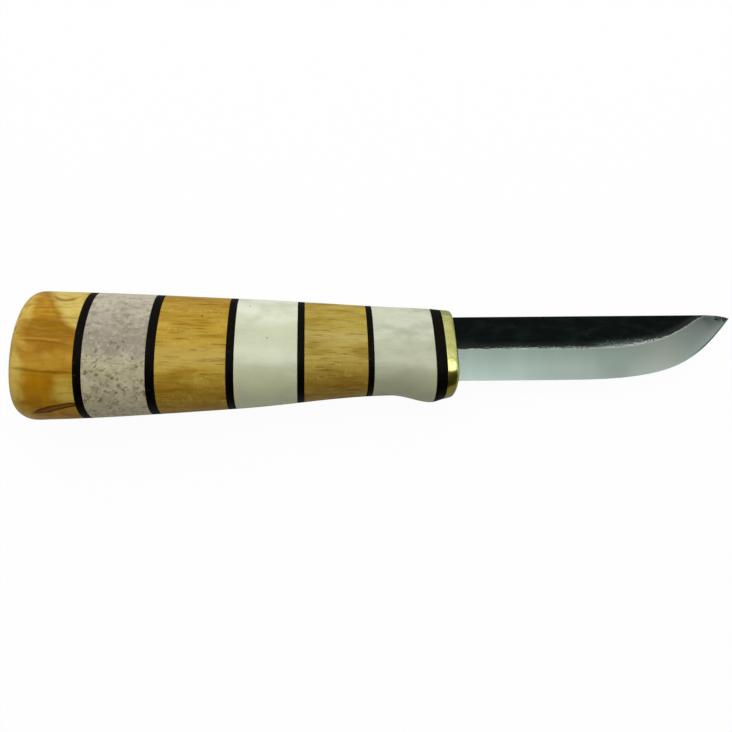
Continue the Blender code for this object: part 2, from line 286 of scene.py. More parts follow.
class HandleSkin:
    """The outside of the whole handle as one smooth surface, with the slot of each piece."""

    def __init__(self, axes: KnifeAxes) -> None:
        """Reads the outlines of every solid in the stack.

        Args:
            axes: the knife's axes.
        """
        self.slots: dict[Stack, list[Outline]] = {piece: [] for piece in Stack}
        self.reach: dict[Stack, Span] = {}
        self.outside: list[Outline] = []
        spans: dict[Stack, tuple[int, int]] = {}
        for piece in Stack:
            first = len(self.outside)
            for corners in axes.outlines(piece.value):
                is_outside = np.ptp(corners[:, 1]) > SLIMMEST_HANDLE
                owner = self.outside if is_outside else self.slots[piece]
                owner.append(Outline.through(corners))
            spans[piece] = (first, len(self.outside) - 1)
        across = [(outline.x, outline.radii.mean()) for outline in self.outside]
        steps = np.hypot(*np.diff(across, axis=0).T)
        self.path = np.concatenate([[0.0], np.cumsum(steps)])
        for piece, (first, last) in spans.items():
            self.reach[piece] = (self.path[first], self.path[last])

    def rings(self, path: np.ndarray, angles: np.ndarray) -> np.ndarray:
        """Reads the surface.

        Args:
            path: how far along the surface each ring lies.
            angles: the angles of the points of a ring.

        Returns:
            One ring in each row, one point in each column.
        """
        radii = np.array([outline.at(angles) for outline in self.outside])
        radii = smooth_curve(path, self.path, radii)
        places = np.array([(outline.x, outline.level) for outline in self.outside])
        places = smooth_curve(path, self.path, places)
        along = np.repeat(places[:, :1], len(angles), axis=1)
        heights = places[:, 1:] + radii * np.sin(angles)
        return np.stack([along, heights, radii * np.cos(angles)], axis=2)


class Node(Enum):
    """The nodes that the finishes are drawn with, each as its type and its settings."""

    EASE = ("MapRange", {"interpolation_type": "SMOOTHSTEP"})
    BLEND = ("Mix", {"data_type": "RGBA"})
    ADD = ("Math", {"operation": "ADD"})
    SUBTRACT = ("Math", {"operation": "SUBTRACT"})
    MULTIPLY = ("Math", {"operation": "MULTIPLY"})
    MULTIPLY_ADD = ("Math", {"operation": "MULTIPLY_ADD"})
    DIVIDE = ("Math", {"operation": "DIVIDE"})
    MINIMUM = ("Math", {"operation": "MINIMUM"})
    MAXIMUM = ("Math", {"operation": "MAXIMUM"})
    ABSOLUTE = ("Math", {"operation": "ABSOLUTE"})
    ANGLE = ("Math", {"operation": "ARCTAN2"})
    STRETCH = ("VectorMath", {"operation": "MULTIPLY"})
    SHIFT = ("VectorMath", {"operation": "SUBTRACT"})
    DISTANCE = ("VectorMath", {"operation": "DISTANCE"})
    LENGTH = ("VectorMath", {"operation": "LENGTH"})
    PLACE = ("TexCoord", {})
    AXES = ("SeparateXYZ", {})
    MARK = ("Attribute", {})
    RAY = ("LightPath", {})
    NOISE = ("TexNoise", {})
    RINGS = ("TexWave", {"wave_type": "RINGS", "rings_direction": "X", "wave_profile": "SAW"})
    BUMP = ("Bump", {})
    GLOW = ("Emission", {})
    CHOICE = ("MixShader", {})


class Ease(NamedTuple):
    """The smooth passage of a result while some value rises.

    Args:
        low: the value where the passage starts.
        high: the value where it ends.
        before: the result up to its start.
        after: the result from its end on.
    """

    low: float
    high: float
    before: float = 0.0
    after: float = 1.0


@dataclass(frozen=True)
class Grain:
    """A soft random pattern.

    Args:
        length: the size of a spot along the knife in millimetres.
        width: its size across the knife.
        detail: how many finer layers lie on it.
        warp: how much it winds.
    """

    length: float
    width: float
    detail: float = 2.0
    warp: float = 0.0


class Recipe:
    """The nodes of one material, or of the world, while it is put together."""

    # A soft random pattern lies mostly between these strengths
    NOISE_SPAN = (0.3, 0.7)
    # A small round spot fades out between these shares of its radius
    SPOT_RIM = Ease(0.4, 1.0, 1.0, 0.0)

    def __init__(self, owner: bpy.types.Material | bpy.types.World) -> None:
        """Starts from the default nodes of the material or the world that owns them."""
        owner.use_nodes = True
        self.tree = owner.node_tree

    def feed(self, node: bpy.types.Node, *values: Feed, **inputs: Feed) -> None:
        """Links or sets the inputs of a node.

        Args:
            node: the node.
            values: an output to link or a value to set for each of the first inputs, in their order.
            inputs: the same for other inputs, by their names with spaces as underscores.
        """
        sockets = [socket for socket in node.inputs if socket.enabled]
        named = {socket.name.replace(" ", "_"): socket for socket in sockets}
        pairs = list(zip(sockets, values)) + [(named[name], value) for name, value in inputs.items()]
        for socket, value in pairs:
            if isinstance(value, Socket):
                self.tree.links.new(value, socket)
            else:
                socket.default_value = value

    def add(
        self, node: Node, *values: Feed, take: str = "", settings: Settings | None = None, **inputs: Feed
    ) -> Socket:
        """Adds a node with its settings and links.

        Args:
            node: the kind of node.
            values: what its first inputs get; see feed().
            take: the name of the output to use, or nothing for the first one.
            settings: further settings of the node, or nothing for its own.
            inputs: what its other inputs get; see feed().

        Returns:
            The output.
        """
        kind, own = node.value
        made = self.tree.nodes.new("ShaderNode" + kind)
        for name, value in (own | (settings or {})).items():
            setattr(made, name, value)
        self.feed(made, *values, **inputs)
        return next(socket for socket in made.outputs if socket.enabled and take in ("", socket.name))

    def place(self, length: float = 1.0, width: float = 1.0) -> Socket:
        """Counts places on the piece in sizes of a pattern, in millimetres along the knife and across it."""
        counts = tuple(1 / (size * MM) for size in (length, width, width))
        return self.add(Node.STRETCH, self.add(Node.PLACE, take="Object"), counts)

    def grain(self, grain: Grain) -> Socket:
        """Draws a soft random pattern, whose strength is about 0.5 in the middle."""
        place = self.place(grain.length, grain.width)
        return self.add(Node.NOISE, place, Scale=1.0, Detail=grain.detail, Distortion=grain.warp)

    def lay(self, under: Feed, colour: str, value: Socket, ease: Ease, within: Feed | None = None) -> Socket:
        """Lays a colour on another one.

        Args:
            under: the colour so far.
            colour: the colour to lay on it.
            value: the pattern or the distance that the new colour follows.
            ease: the share of the new colour while the value rises.
            within: a further share of it, or nothing for all of it.

        Returns:
            The colour of both.
        """
        share = self.add(Node.EASE, value, *ease)
        if within is not None:
            share = self.add(Node.MULTIPLY, share, within)
        return self.add(Node.BLEND, share, under, linear(colour))

    def spots(self, middles: tuple[Triple, ...], radius: float) -> Socket:
        """Marks small round spots.

        Args:
            middles: their places on the piece in millimetres.
            radius: their radius.

        Returns:
            One in a spot, and nought outside.
        """
        place = self.place()
        nearest = 1.0
        for middle in middles:
            away = self.add(Node.DISTANCE, place, middle, take="Value")
            nearest = self.add(Node.MINIMUM, self.add(Node.DIVIDE, away, radius), nearest)
        return self.add(Node.EASE, nearest, *self.SPOT_RIM)

    def curve(self, along: Socket, terms: Triple) -> Socket:
        """Gives the height of a curve, whose terms are its height at nought, its slope there and its bend."""
        level, slope, bend = terms
        return self.add(Node.MULTIPLY_ADD, along, self.add(Node.MULTIPLY_ADD, along, bend, slope), level)


@dataclass(frozen=True)
class Finish:
    """What a piece is made of and how its surface was made.

    Args:
        name: the material's common name and how it was worked.
        slot: the record's name for it, which is not used.
    """

    name: str
    slot: str

    def material(self) -> bpy.types.Material:
        """Gives the finish's material, made when it is first asked for.

        Returns:
            The material.
        """
        made = bpy.data.materials.get(self.name)
        if made is None:
            made = bpy.data.materials.new(self.name)
            recipe = Recipe(made)
            self.mix(recipe, recipe.tree.nodes["Principled BSDF"])
        return made

    def mix(self, recipe: Recipe, surface: bpy.types.Node) -> None:
        """Draws the finish on the surface shader of its material."""
        raise NotImplementedError


@dataclass(frozen=True)
class OiledBirch(Finish):
    """Birch cut along the grain, sanded and oiled.

    The eye sees honey wood with soft patches, fine fibres, short dark pores and pale ticks across the grain.
    A paler band along the side is painted light, and the wood darkens towards the bottom. Real fibres and
    pores are some hundredths of a millimetre wide, which is too fine to show here, so they are drawn coarser.
    """

    name: str = "oiled_birch"
    slot: str = "birch"
    pale: str = "#C4A43C"
    deep: str = "#B28C28"
    fibre: str = "#8E620A"
    pore: str = "#704C08"
    pale_grain_and_lit_band: str = "#D2B65E"
    ior: float = 1.5
    gloss: float = 0.07
    roughness: Ease = Ease(0.3, 0.7, 0.28, 0.42)
    relief: float = 0.05 * MM
    relief_share: float = 0.2
    # Patterns
    patches: Grain = Grain(11.0, 3.0, 3.0, 0.2)
    fibres: Grain = Grain(8.0, 0.7, 3.0, 0.2)
    ticks: Grain = Grain(0.5, 1.6, 1.0, 0.4)
    pores: Grain = Grain(6.0, 0.38, 1.0, 0.15)
    flecks: Grain = Grain(1.9, 0.55, 1.0)
    # Where they show
    deep_patches: Ease = Ease(0.36, 0.68)
    dark_fibres: Ease = Ease(0.48, 0.74, 0.0, 0.52)
    pale_fibres: Ease = Ease(0.26, 0.46, 0.3, 0.0)
    pale_ticks: Ease = Ease(0.5, 0.72)
    ticked_patches: Ease = Ease(0.4, 0.58, 0.4, 0.0)
    dark_pores: Ease = Ease(0.6, 0.73, 0.0, 0.58)
    pale_flecks: Ease = Ease(0.58, 0.76, 0.0, 0.22)
    # Zones by the height above the handle's axis in millimetres, and how far the patches shift them: a band
    # of painted light, and darker wood towards the bottom and towards the spine
    painted_band_level: float = -4.5
    band: Ease = Ease(0.0, 4.0, 0.65, 0.0)
    darker_bottom: Ease = Ease(-12.0, -7.0, 0.5, 0.0)
    spine_shade: Ease = Ease(4.5, 11.0, 0.0, 0.32)
    zone_shift: float = 1.0
    knots: tuple[Triple, ...] = ((-63.9, 6.9, 7.6),)
    knot_radius: float = 0.35

    def mix(self, recipe: Recipe, surface: bpy.types.Node) -> None:
        """Draws patches, a band of painted light, a darker bottom, fibres, ticks across them, pores and
        flecks.

        Args:
            recipe: the material's nodes.
            surface: the shader that shows the finish.
        """
        patches = recipe.grain(self.patches)
        fibres = recipe.grain(self.fibres)
        shift = recipe.add(Node.EASE, patches, *recipe.NOISE_SPAN, self.zone_shift, -self.zone_shift)
        height = recipe.add(Node.ADD, recipe.add(Node.AXES, recipe.place(), take="Y"), shift)
        away = recipe.add(Node.ABSOLUTE, recipe.add(Node.SUBTRACT, height, self.painted_band_level))
        ticked = recipe.add(Node.EASE, patches, *self.ticked_patches)
        wood = recipe.lay(linear(self.pale), self.deep, patches, self.deep_patches)
        # Painted light: a paler band along the side
        wood = recipe.lay(wood, self.pale_grain_and_lit_band, away, self.band)
        # The wood darkens towards the bottom
        wood = recipe.lay(wood, self.fibre, height, self.darker_bottom)
        wood = recipe.lay(wood, self.fibre, height, self.spine_shade)
        wood = recipe.lay(wood, self.fibre, fibres, self.dark_fibres)
        wood = recipe.lay(wood, self.pale_grain_and_lit_band, fibres, self.pale_fibres)
        wood = recipe.lay(wood, self.pale_grain_and_lit_band, recipe.grain(self.ticks), self.pale_ticks, ticked)
        wood = recipe.lay(wood, self.pore, recipe.grain(self.pores), self.dark_pores)
        wood = recipe.lay(wood, self.pale_grain_and_lit_band, recipe.grain(self.flecks), self.pale_flecks)
        knots = recipe.spots(self.knots, self.knot_radius)
        recipe.feed(
            surface,
            Base_Color=recipe.add(Node.BLEND, knots, wood, linear(self.pore)),
            Roughness=recipe.add(Node.EASE, fibres, *self.roughness),
            Normal=recipe.add(Node.BUMP, Strength=self.relief_share, Distance=self.relief, Height=fibres),
            IOR=self.ior,
            Specular_IOR_Level=self.gloss,
        )


@dataclass(frozen=True)
class GrainLine:
    """One line of the figure on the butt block.

    Args:
        rise: its angle round the handle in degrees, as the terms of a curve along the block.
        start: where it starts, in millimetres from the middle of the block.
        stop: where it stops.
        width: how many degrees wide it is.
        colour: its colour.
        strength: how much of its colour shows.
    """

    rise: Triple
    start: float
    stop: float
    width: float
    colour: str
    strength: float


@dataclass(frozen=True)
class GrainCloud:
    """One soft cloud of the figure on the butt block.

    Args:
        along: its middle, in millimetres from the middle of the block.
        turn: the angle of its middle round the handle in degrees.
        length: half its length.
        spread: half the degrees that it covers.
        colour: its colour.
        strength: how much of its colour shows.
    """

    along: float
    turn: float
    length: float
    spread: float
    colour: str
    strength: float


@dataclass(frozen=True)
class CurlyBirch(Finish):
    """Curly birch, sanded and oiled.

    The eye sees amber wood whose winding grain shows as soft clouds and stray dark lines, with pale sapwood
    at one corner and year rings on the end. A pale ring round the rounded rear end is painted light. Its
    fibres are too fine to show here, so they are drawn coarser.
    """

    name: str = "oiled_curly_birch"
    slot: str = "curly_birch"
    pale: str = "#C08E1A"
    deep: str = "#A26E08"
    pore: str = "#7A4E04"
    sapwood: str = "#DCC86C"
    flame: str = "#8A5508"
    char: str = "#381700"
    ior: float = 1.5
    gloss: float = 0.07
    roughness: Ease = Ease(0.3, 0.7, 0.29, 0.4)
    relief: float = 0.05 * MM
    relief_share: float = 0.2
    # Patterns
    grain: Grain = Grain(7.0, 5.0, 3.0, 0.8)
    fibres: Grain = Grain(10.0, 0.9, 4.0, 0.8)
    curl: Grain = Grain(2.6, 9.0, 2.0, 0.5)
    ripples: Grain = Grain(4.5, 0.8, 3.0, 0.25)
    shake: Grain = Grain(5.0, 3.0, 1.0)
    # Where they show, and how many degrees the figure is shaken
    deep_grain: Ease = Ease(0.3, 0.7)
    deep_curl: Ease = Ease(0.46, 0.66, 0.0, 0.3)
    dark_fibres: Ease = Ease(0.52, 0.78, 0.0, 0.42)
    dark_ripples: Ease = Ease(0.5, 0.74, 0.0, 0.42)
    pale_ripples: Ease = Ease(0.28, 0.48, 0.14, 0.0)
    rippled_turns: Ease = Ease(-12.0, 12.0, 0.45, 1.0)
    shaken: Ease = Ease(0.2, 0.8, -1.2, 1.2)
    # Clouds and lines; the last cloud, a pale ring round the rear end, is painted light
    block_middle: float = -99.65
    clouds: tuple[GrainCloud, ...] = (
        GrainCloud(1.5, 8.0, 9.0, 20.0, "#946600", 0.72),
        GrainCloud(-0.8, -51.0, 4.8, 13.0, "#C08200", 0.5),
        GrainCloud(1.0, -27.0, 9.0, 12.0, "#C89A34", 0.8),
        GrainCloud(5.8, -54.0, 4.0, 15.0, "#DABE54", 0.8),
        # Painted light: a pale ring all round the rounded rear end
        GrainCloud(-9.0, 0.0, 5.2, 400.0, "#E4C862", 0.8),
    )
    cloud_rims: Ease = Ease(0.3, 0.7, -0.35, 0.35)
    cloud_reach: float = 1.3
    lines: tuple[GrainLine, ...] = (
        GrainLine((-4.6, -0.6, 0.0), -9.0, 5.0, 2.6, "#D2A63C", 0.5),
        GrainLine((-7.4, -0.6, 0.0), -5.0, 7.0, 2.6, "#80520A", 0.5),
        GrainLine((-38.4, -0.3, 0.0), -7.5, 8.0, 2.2, "#7A4E06", 0.55),
        GrainLine((62.4, -4.08, 0.85), -1.6, 6.2, 4.4, "#86560A", 0.8),
    )
    line_fade: float = 2.0
    # The sapwood by the distance inside its edge, which is a curve over the angle round the handle
    sapwood_edge: Triple = (7.3, -0.19, 0.00079)
    sapwood_stray: Ease = Ease(0.3, 0.7, -0.7, 0.7)
    sapwood_turns: Ease = Ease(4.0, 14.0)
    sapwood_fill: Ease = Ease(-0.6, 2.4, 0.0, 0.9)
    sapwood_clouds: Ease = Ease(0.4, 0.68, 0.0, 0.45)
    rim_rise: Ease = Ease(-1.6, -0.2)
    rim_fall: Ease = Ease(-0.2, 1.0, 0.3, 0.0)
    # The flame by the degrees inside its two sides, which are curves along the block
    flame_top: Triple = (-72.4, 1.44, -0.104)
    flame_foot: Triple = (-77.6, 0.65, 0.04)
    flame_tip: Ease = Ease(-4.5, -1.5)
    flame_core: Ease = Ease(0.2, 1.8, 0.0, 0.9)
    char_rise: Ease = Ease(-1.4, 0.2)
    char_fall: Ease = Ease(0.5, 2.4, 0.9, 0.1)
    # The year rings of the end face in millimetres
    pith: Triple = (0.0, -24.0, 7.0)
    ring_width: float = 1.7
    ring_warp: float = 2.5
    ring_detail: float = 2.0
    late_wood: Ease = Ease(0.45, 1.0)
    end_face: Ease = Ease(-8.0, -6.6, 0.5, 0.0)

    def mix(self, recipe: Recipe, surface: bpy.types.Node) -> None:
        """Draws clouds and painted light, curl, sapwood, fibres, ripples, lines, a flame and the end's rings.

        Args:
            recipe: the material's nodes.
            surface: the shader that shows the finish.
        """
        grain = recipe.grain(self.grain)
        fibres = recipe.grain(self.fibres)
        ripples = recipe.grain(self.ripples)
        along, turn = self.places(recipe)
        rippled = recipe.add(Node.EASE, turn, *self.rippled_turns)
        wood = recipe.lay(linear(self.pale), self.deep, grain, self.deep_grain)
        wood = self.draw_clouds(recipe, wood, along, turn, grain)
        wood = recipe.lay(wood, self.deep, recipe.grain(self.curl), self.deep_curl)
        wood = self.draw_sapwood(recipe, wood, along, turn, grain)
        wood = recipe.lay(wood, self.pore, fibres, self.dark_fibres)
        wood = recipe.lay(wood, self.pore, ripples, self.dark_ripples, rippled)
        wood = recipe.lay(wood, self.sapwood, ripples, self.pale_ripples, rippled)
        wood = self.draw_lines(recipe, wood, along, turn)
        wood = self.draw_flame(recipe, wood, along, turn)
        recipe.feed(
            surface,
            Base_Color=self.draw_rings(recipe, wood, along),
            Roughness=recipe.add(Node.EASE, grain, *self.roughness),
            Normal=recipe.add(Node.BUMP, Strength=self.relief_share, Distance=self.relief, Height=fibres),
            IOR=self.ior,
            Specular_IOR_Level=self.gloss,
        )

    def places(self, recipe: Recipe) -> tuple[Socket, Socket]:
        """Finds places on the block, shaken a little so that no line of the figure is ruled.

        Args:
            recipe: the material's nodes.

        Returns:
            The distance from the middle of the block in millimetres, and the angle round it in degrees.
        """
        place = recipe.place()
        x, y, z = (recipe.add(Node.AXES, place, take=axis) for axis in "XYZ")
        shake = recipe.add(Node.EASE, recipe.grain(self.shake), *self.shaken)
        degrees = recipe.add(Node.MULTIPLY, recipe.add(Node.ANGLE, y, z), math.degrees(1.0))
        return recipe.add(Node.SUBTRACT, x, self.block_middle), recipe.add(Node.ADD, degrees, shake)

    def draw_clouds(
        self, recipe: Recipe, wood: Socket, along: Socket, turn: Socket, grain: Socket
    ) -> Socket:
        """Lays the soft clouds on the wood, the last of them a pale ring of painted light round the rear end.

        Args:
            recipe: the material's nodes.
            wood: the colour so far.
            along: the distance from the middle of the block.
            turn: the angle round it.
            grain: the pattern that makes the rims of the clouds uneven.

        Returns:
            The colour with the clouds.
        """
        uneven = recipe.add(Node.EASE, grain, *self.cloud_rims)
        for cloud in self.clouds:
            ahead = recipe.add(Node.DIVIDE, recipe.add(Node.SUBTRACT, along, cloud.along), cloud.length)
            aside = recipe.add(Node.DIVIDE, recipe.add(Node.SUBTRACT, turn, cloud.turn), cloud.spread)
            away = recipe.add(Node.MULTIPLY_ADD, ahead, ahead, recipe.add(Node.MULTIPLY, aside, aside))
            away = recipe.add(Node.ADD, away, uneven)
            fade = Ease(0.0, self.cloud_reach, cloud.strength, 0.0)
            wood = recipe.lay(wood, cloud.colour, away, fade)
        return wood

    def draw_sapwood(
        self, recipe: Recipe, wood: Socket, along: Socket, turn: Socket, grain: Socket
    ) -> Socket:
        """Lays the pale sapwood over the spine side, with a dark line along its edge.

        Args:
            recipe: the material's nodes.
            wood: the colour so far.
            along: the distance from the middle of the block.
            turn: the angle round it.
            grain: the pattern that makes the edge of the sapwood stray.

        Returns:
            The colour with the sapwood.
        """
        inside = recipe.add(Node.SUBTRACT, along, recipe.curve(turn, self.sapwood_edge))
        inside = recipe.add(Node.ADD, inside, recipe.add(Node.EASE, grain, *self.sapwood_stray))
        upper = recipe.add(Node.EASE, turn, *self.sapwood_turns)
        rim = recipe.add(Node.MULTIPLY, recipe.add(Node.EASE, inside, *self.rim_fall), upper)
        wood = recipe.lay(wood, self.pore, inside, self.rim_rise, rim)
        clear = recipe.lay(linear(self.sapwood), self.pale, grain, self.sapwood_clouds)
        fill = recipe.add(Node.MULTIPLY, recipe.add(Node.EASE, inside, *self.sapwood_fill), upper)
        return recipe.add(Node.BLEND, fill, wood, clear)

    def draw_lines(self, recipe: Recipe, wood: Socket, along: Socket, turn: Socket) -> Socket:
        """Lays the stray lines on the wood.

        Args:
            recipe: the material's nodes.
            wood: the colour so far.
            along: the distance from the middle of the block.
            turn: the angle round it.

        Returns:
            The colour with the lines.
        """
        for line in self.lines:
            away = recipe.add(Node.SUBTRACT, turn, recipe.curve(along, line.rise))
            away = recipe.add(Node.ABSOLUTE, away)
            head = recipe.add(Node.EASE, along, line.start, line.start + self.line_fade, 0.0, line.strength)
            tail = recipe.add(Node.EASE, along, line.stop - self.line_fade, line.stop, 1.0, 0.0)
            ends = recipe.add(Node.MULTIPLY, head, tail)
            wood = recipe.lay(wood, line.colour, away, Ease(0.0, line.width, 1.0, 0.0), ends)
        return wood

    def draw_flame(self, recipe: Recipe, wood: Socket, along: Socket, turn: Socket) -> Socket:
        """Lays the brown flame with its black rim on the edge side.

        Args:
            recipe: the material's nodes.
            wood: the colour so far.
            along: the distance from the middle of the block.
            turn: the angle round it.

        Returns:
            The colour with the flame.
        """
        below_top = recipe.add(Node.SUBTRACT, recipe.curve(along, self.flame_top), turn)
        above_foot = recipe.add(Node.SUBTRACT, turn, recipe.curve(along, self.flame_foot))
        inside = recipe.add(Node.MINIMUM, below_top, above_foot)
        reach = recipe.add(Node.EASE, along, *self.flame_tip)
        rim = recipe.add(Node.MULTIPLY, recipe.add(Node.EASE, inside, *self.char_fall), reach)
        wood = recipe.lay(wood, self.flame, inside, self.flame_core, reach)
        return recipe.lay(wood, self.char, inside, self.char_rise, rim)

    def draw_rings(self, recipe: Recipe, wood: Socket, along: Socket) -> Socket:
        """Lays the year rings on the end face, round a pith that was cut away.

        Args:
            recipe: the material's nodes.
            wood: the colour so far.
            along: the distance from the middle of the block.

        Returns:
            The colour with the rings.
        """
        place = recipe.add(Node.SHIFT, recipe.place(), self.pith)
        # The node's own rings are a tenth of pi wide
        scale = math.pi / 10 / self.ring_width
        rings = recipe.add(
            Node.RINGS, place, take="Fac", Scale=scale, Distortion=self.ring_warp, Detail=self.ring_detail
        )
        end = recipe.add(Node.EASE, along, *self.end_face)
        return recipe.lay(wood, self.deep, rings, self.late_wood, end)


@dataclass(frozen=True)
class PolishedAntler(Finish):
    """The dense outer wall of an antler, sanded and buffed.

    The eye sees ivory white, with faint grey clouds and streaks, few specks and a soft gloss. Its paler top
    is painted light.
    """

    name: str = "buffed_white_antler"
    slot: str = "white_antler"
    pale: str = "#D2D7B6"
    grey: str = "#C5C9A8"
    lit_top: str = "#E8ECD6"
    foot: str = "#D2D5A4"
    speck: str = "#858267"
    ior: float = 1.54
    gloss: float = 0.5
    roughness: Ease = Ease(0.3, 0.7, 0.21, 0.33)
    relief: float = 0.04 * MM
    relief_share: float = 0.08
    # Patterns
    clouds: Grain = Grain(7.0, 4.5, 3.0)
    streaks: Grain = Grain(5.0, 0.7, 3.0)
    specks: Grain = Grain(0.7, 0.35, 0.0)
    # Where they show
    grey_clouds: Ease = Ease(0.42, 0.72, 0.0, 0.7)
    grey_streaks: Ease = Ease(0.48, 0.74)
    dark_specks: Ease = Ease(0.82, 0.88, 0.0, 0.5)
    # Zones by the height above the handle's axis in millimetres, and how far the clouds shift them; the paler
    # top is painted light
    lit_top_rise: Ease = Ease(4.0, 10.0, 0.0, 0.85)
    foot_fall: Ease = Ease(-10.5, -5.5, 0.7, 0.0)
    streak_fall: Ease = Ease(-7.0, 1.0, 0.6, 0.25)
    zone_shift: float = 2.0
    flaws: tuple[Triple, ...] = ((-47.8, 0.8, 8.7), (-52.5, 10.8, 4.8))
    flaw_radius: float = 0.3

    def mix(self, recipe: Recipe, surface: bpy.types.Node) -> None:
        """Draws a paler top of painted light, a yellower foot, clouds, streaks, specks and a few larger
        flaws.

        Args:
            recipe: the material's nodes.
            surface: the shader that shows the finish.
        """
        clouds = recipe.grain(self.clouds)
        streaks = recipe.grain(self.streaks)
        shift = recipe.add(Node.EASE, clouds, *recipe.NOISE_SPAN, self.zone_shift, -self.zone_shift)
        height = recipe.add(Node.ADD, recipe.add(Node.AXES, recipe.place(), take="Y"), shift)
        streaked = recipe.add(Node.EASE, height, *self.streak_fall)
        # Painted light: the upper side paler
        bone = recipe.lay(linear(self.pale), self.lit_top, height, self.lit_top_rise)
        bone = recipe.lay(bone, self.foot, height, self.foot_fall)
        bone = recipe.lay(bone, self.grey, clouds, self.grey_clouds)
        bone = recipe.lay(bone, self.grey, streaks, self.grey_streaks, streaked)
        bone = recipe.lay(bone, self.speck, recipe.grain(self.specks), self.dark_specks)
        flaws = recipe.spots(self.flaws, self.flaw_radius)
        recipe.feed(
            surface,
            Base_Color=recipe.add(Node.BLEND, flaws, bone, linear(self.speck)),
            Roughness=recipe.add(Node.EASE, clouds, *self.roughness),
            Normal=recipe.add(Node.BUMP, Strength=self.relief_share, Distance=self.relief, Height=streaks),
            IOR=self.ior,
            Specular_IOR_Level=self.gloss,
        )


@dataclass(frozen=True)
class PorousAntler(Finish):
    """The spongy core of an antler, filled, sanded and buffed.

    The eye sees grey with pale blotches on the spine side, and beige with brown pores on the edge side.
    """

    name: str = "buffed_porous_antler"
    slot: str = "grey_antler"
    cool: str = "#ADA492"
    warm: str = "#C6BC97"
    pale: str = "#D4CCB2"
    stain: str = "#847A60"
    pore: str = "#6C5C36"
    ior: float = 1.54
    gloss: float = 0.3
    roughness: Ease = Ease(0.3, 0.7, 0.34, 0.5)
    relief: float = 0.05 * MM
    relief_share: float = 0.25
    # Patterns
    clouds: Grain = Grain(5.0, 4.5, 4.0)
    stains: Grain = Grain(1.7, 1.4, 3.0, 0.3)
    blotches: Grain = Grain(1.5, 1.3, 2.0, 0.2)
    specks: Grain = Grain(0.65, 0.65, 1.0)
    squiggles: Grain = Grain(1.5, 0.9, 1.5, 2.0)
    # Where they show
    stained_clouds: Ease = Ease(0.48, 0.74, 0.0, 0.4)
    stained_spots: Ease = Ease(0.5, 0.68, 0.0, 0.6)
    pale_blotches: Ease = Ease(0.5, 0.72)
    pale_specks: Ease = Ease(0.6, 0.74, 0.0, 0.5)
    dark_squiggles: Ease = Ease(0.57, 0.68)
    dark_pits: Ease = Ease(0.05, 0.5, 0.0, 0.66)
    # Zones by how spongy the antler is, from nought at the spine to one, and how far two patterns shift them
    pale_zone: Ease = Ease(0.1, 0.32, 0.5, 0.0)
    warm_zone: Ease = Ease(0.57, 0.7)
    blotch_zone: Ease = Ease(0.54, 0.7, 0.35, 0.6)
    squiggle_zone: Ease = Ease(0.54, 0.72, 0.2, 0.62)
    seam: float = 0.5
    seam_stain: Ease = Ease(0.0, 0.2, 0.55, 0.0)
    cloud_shift: Ease = Ease(0.3, 0.7, -0.05, 0.05)
    stain_shift: Ease = Ease(0.3, 0.7, -0.04, 0.04)

    def mix(self, recipe: Recipe, surface: bpy.types.Node) -> None:
        """Draws clouds, stains, pale blotches and specks, brown squiggles and the mesh's pits.

        Args:
            recipe: the material's nodes.
            surface: the shader that shows the finish.
        """
        clouds = recipe.grain(self.clouds)
        stains = recipe.grain(self.stains)
        specks = recipe.grain(self.specks)
        pits = recipe.add(Node.MARK, take="Fac", settings={"attribute_name": PorousBlock.PORE_DEPTH})
        spongy = recipe.add(Node.MARK, take="Fac", settings={"attribute_name": PorousBlock.SPONGINESS})
        spongy = recipe.add(Node.ADD, spongy, recipe.add(Node.EASE, clouds, *self.cloud_shift))
        spongy = recipe.add(Node.ADD, spongy, recipe.add(Node.EASE, stains, *self.stain_shift))
        seam = recipe.add(Node.ABSOLUTE, recipe.add(Node.SUBTRACT, spongy, self.seam))
        blotched = recipe.add(Node.EASE, spongy, *self.blotch_zone)
        winding = recipe.add(Node.EASE, spongy, *self.squiggle_zone)
        bone = recipe.lay(linear(self.cool), self.pale, spongy, self.pale_zone)
        bone = recipe.lay(bone, self.warm, spongy, self.warm_zone)
        bone = recipe.lay(bone, self.stain, seam, self.seam_stain)
        bone = recipe.lay(bone, self.stain, clouds, self.stained_clouds)
        bone = recipe.lay(bone, self.stain, stains, self.stained_spots)
        bone = recipe.lay(bone, self.pale, recipe.grain(self.blotches), self.pale_blotches, blotched)
        bone = recipe.lay(bone, self.pale, specks, self.pale_specks)
        bone = recipe.lay(bone, self.pore, recipe.grain(self.squiggles), self.dark_squiggles, winding)
        recipe.feed(
            surface,
            Base_Color=recipe.lay(bone, self.pore, pits, self.dark_pits),
            Roughness=recipe.add(Node.EASE, specks, *self.roughness),
            Normal=recipe.add(Node.BUMP, Strength=self.relief_share, Distance=self.relief, Height=specks),
            IOR=self.ior,
            Specular_IOR_Level=self.gloss,
        )


@dataclass(frozen=True)
class PressedLeather(Finish):
    """Black leather pressed into a disc and sanded flush.

    The eye sees near black, dull, with a few pale fibre ends. Real ones are too fine to show here, so they
    are drawn coarser.
    """

    name: str = "pressed_black_leather"
    slot: str = "black_spacer"
    black: str = "#070502"
    fibre: str = "#463E30"
    gloss: float = 0.04
    roughness: Ease = Ease(0.3, 0.7, 0.42, 0.62)
    relief: float = 0.06 * MM
    relief_share: float = 0.4
    fibres: Grain = Grain(0.5, 0.4, 3.0)
    fibre_ends: Ease = Ease(0.63, 0.8)

    def mix(self, recipe: Recipe, surface: bpy.types.Node) -> None:
        """Draws fibre ends.

        Args:
            recipe: the material's nodes.
            surface: the shader that shows the finish.
        """
        fibres = recipe.grain(self.fibres)
        recipe.feed(
            surface,
            Base_Color=recipe.lay(linear(self.black), self.fibre, fibres, self.fibre_ends),
            Roughness=recipe.add(Node.EASE, fibres, *self.roughness),
            Normal=recipe.add(Node.BUMP, Strength=self.relief_share, Distance=self.relief, Height=fibres),
            Specular_IOR_Level=self.gloss,
        )


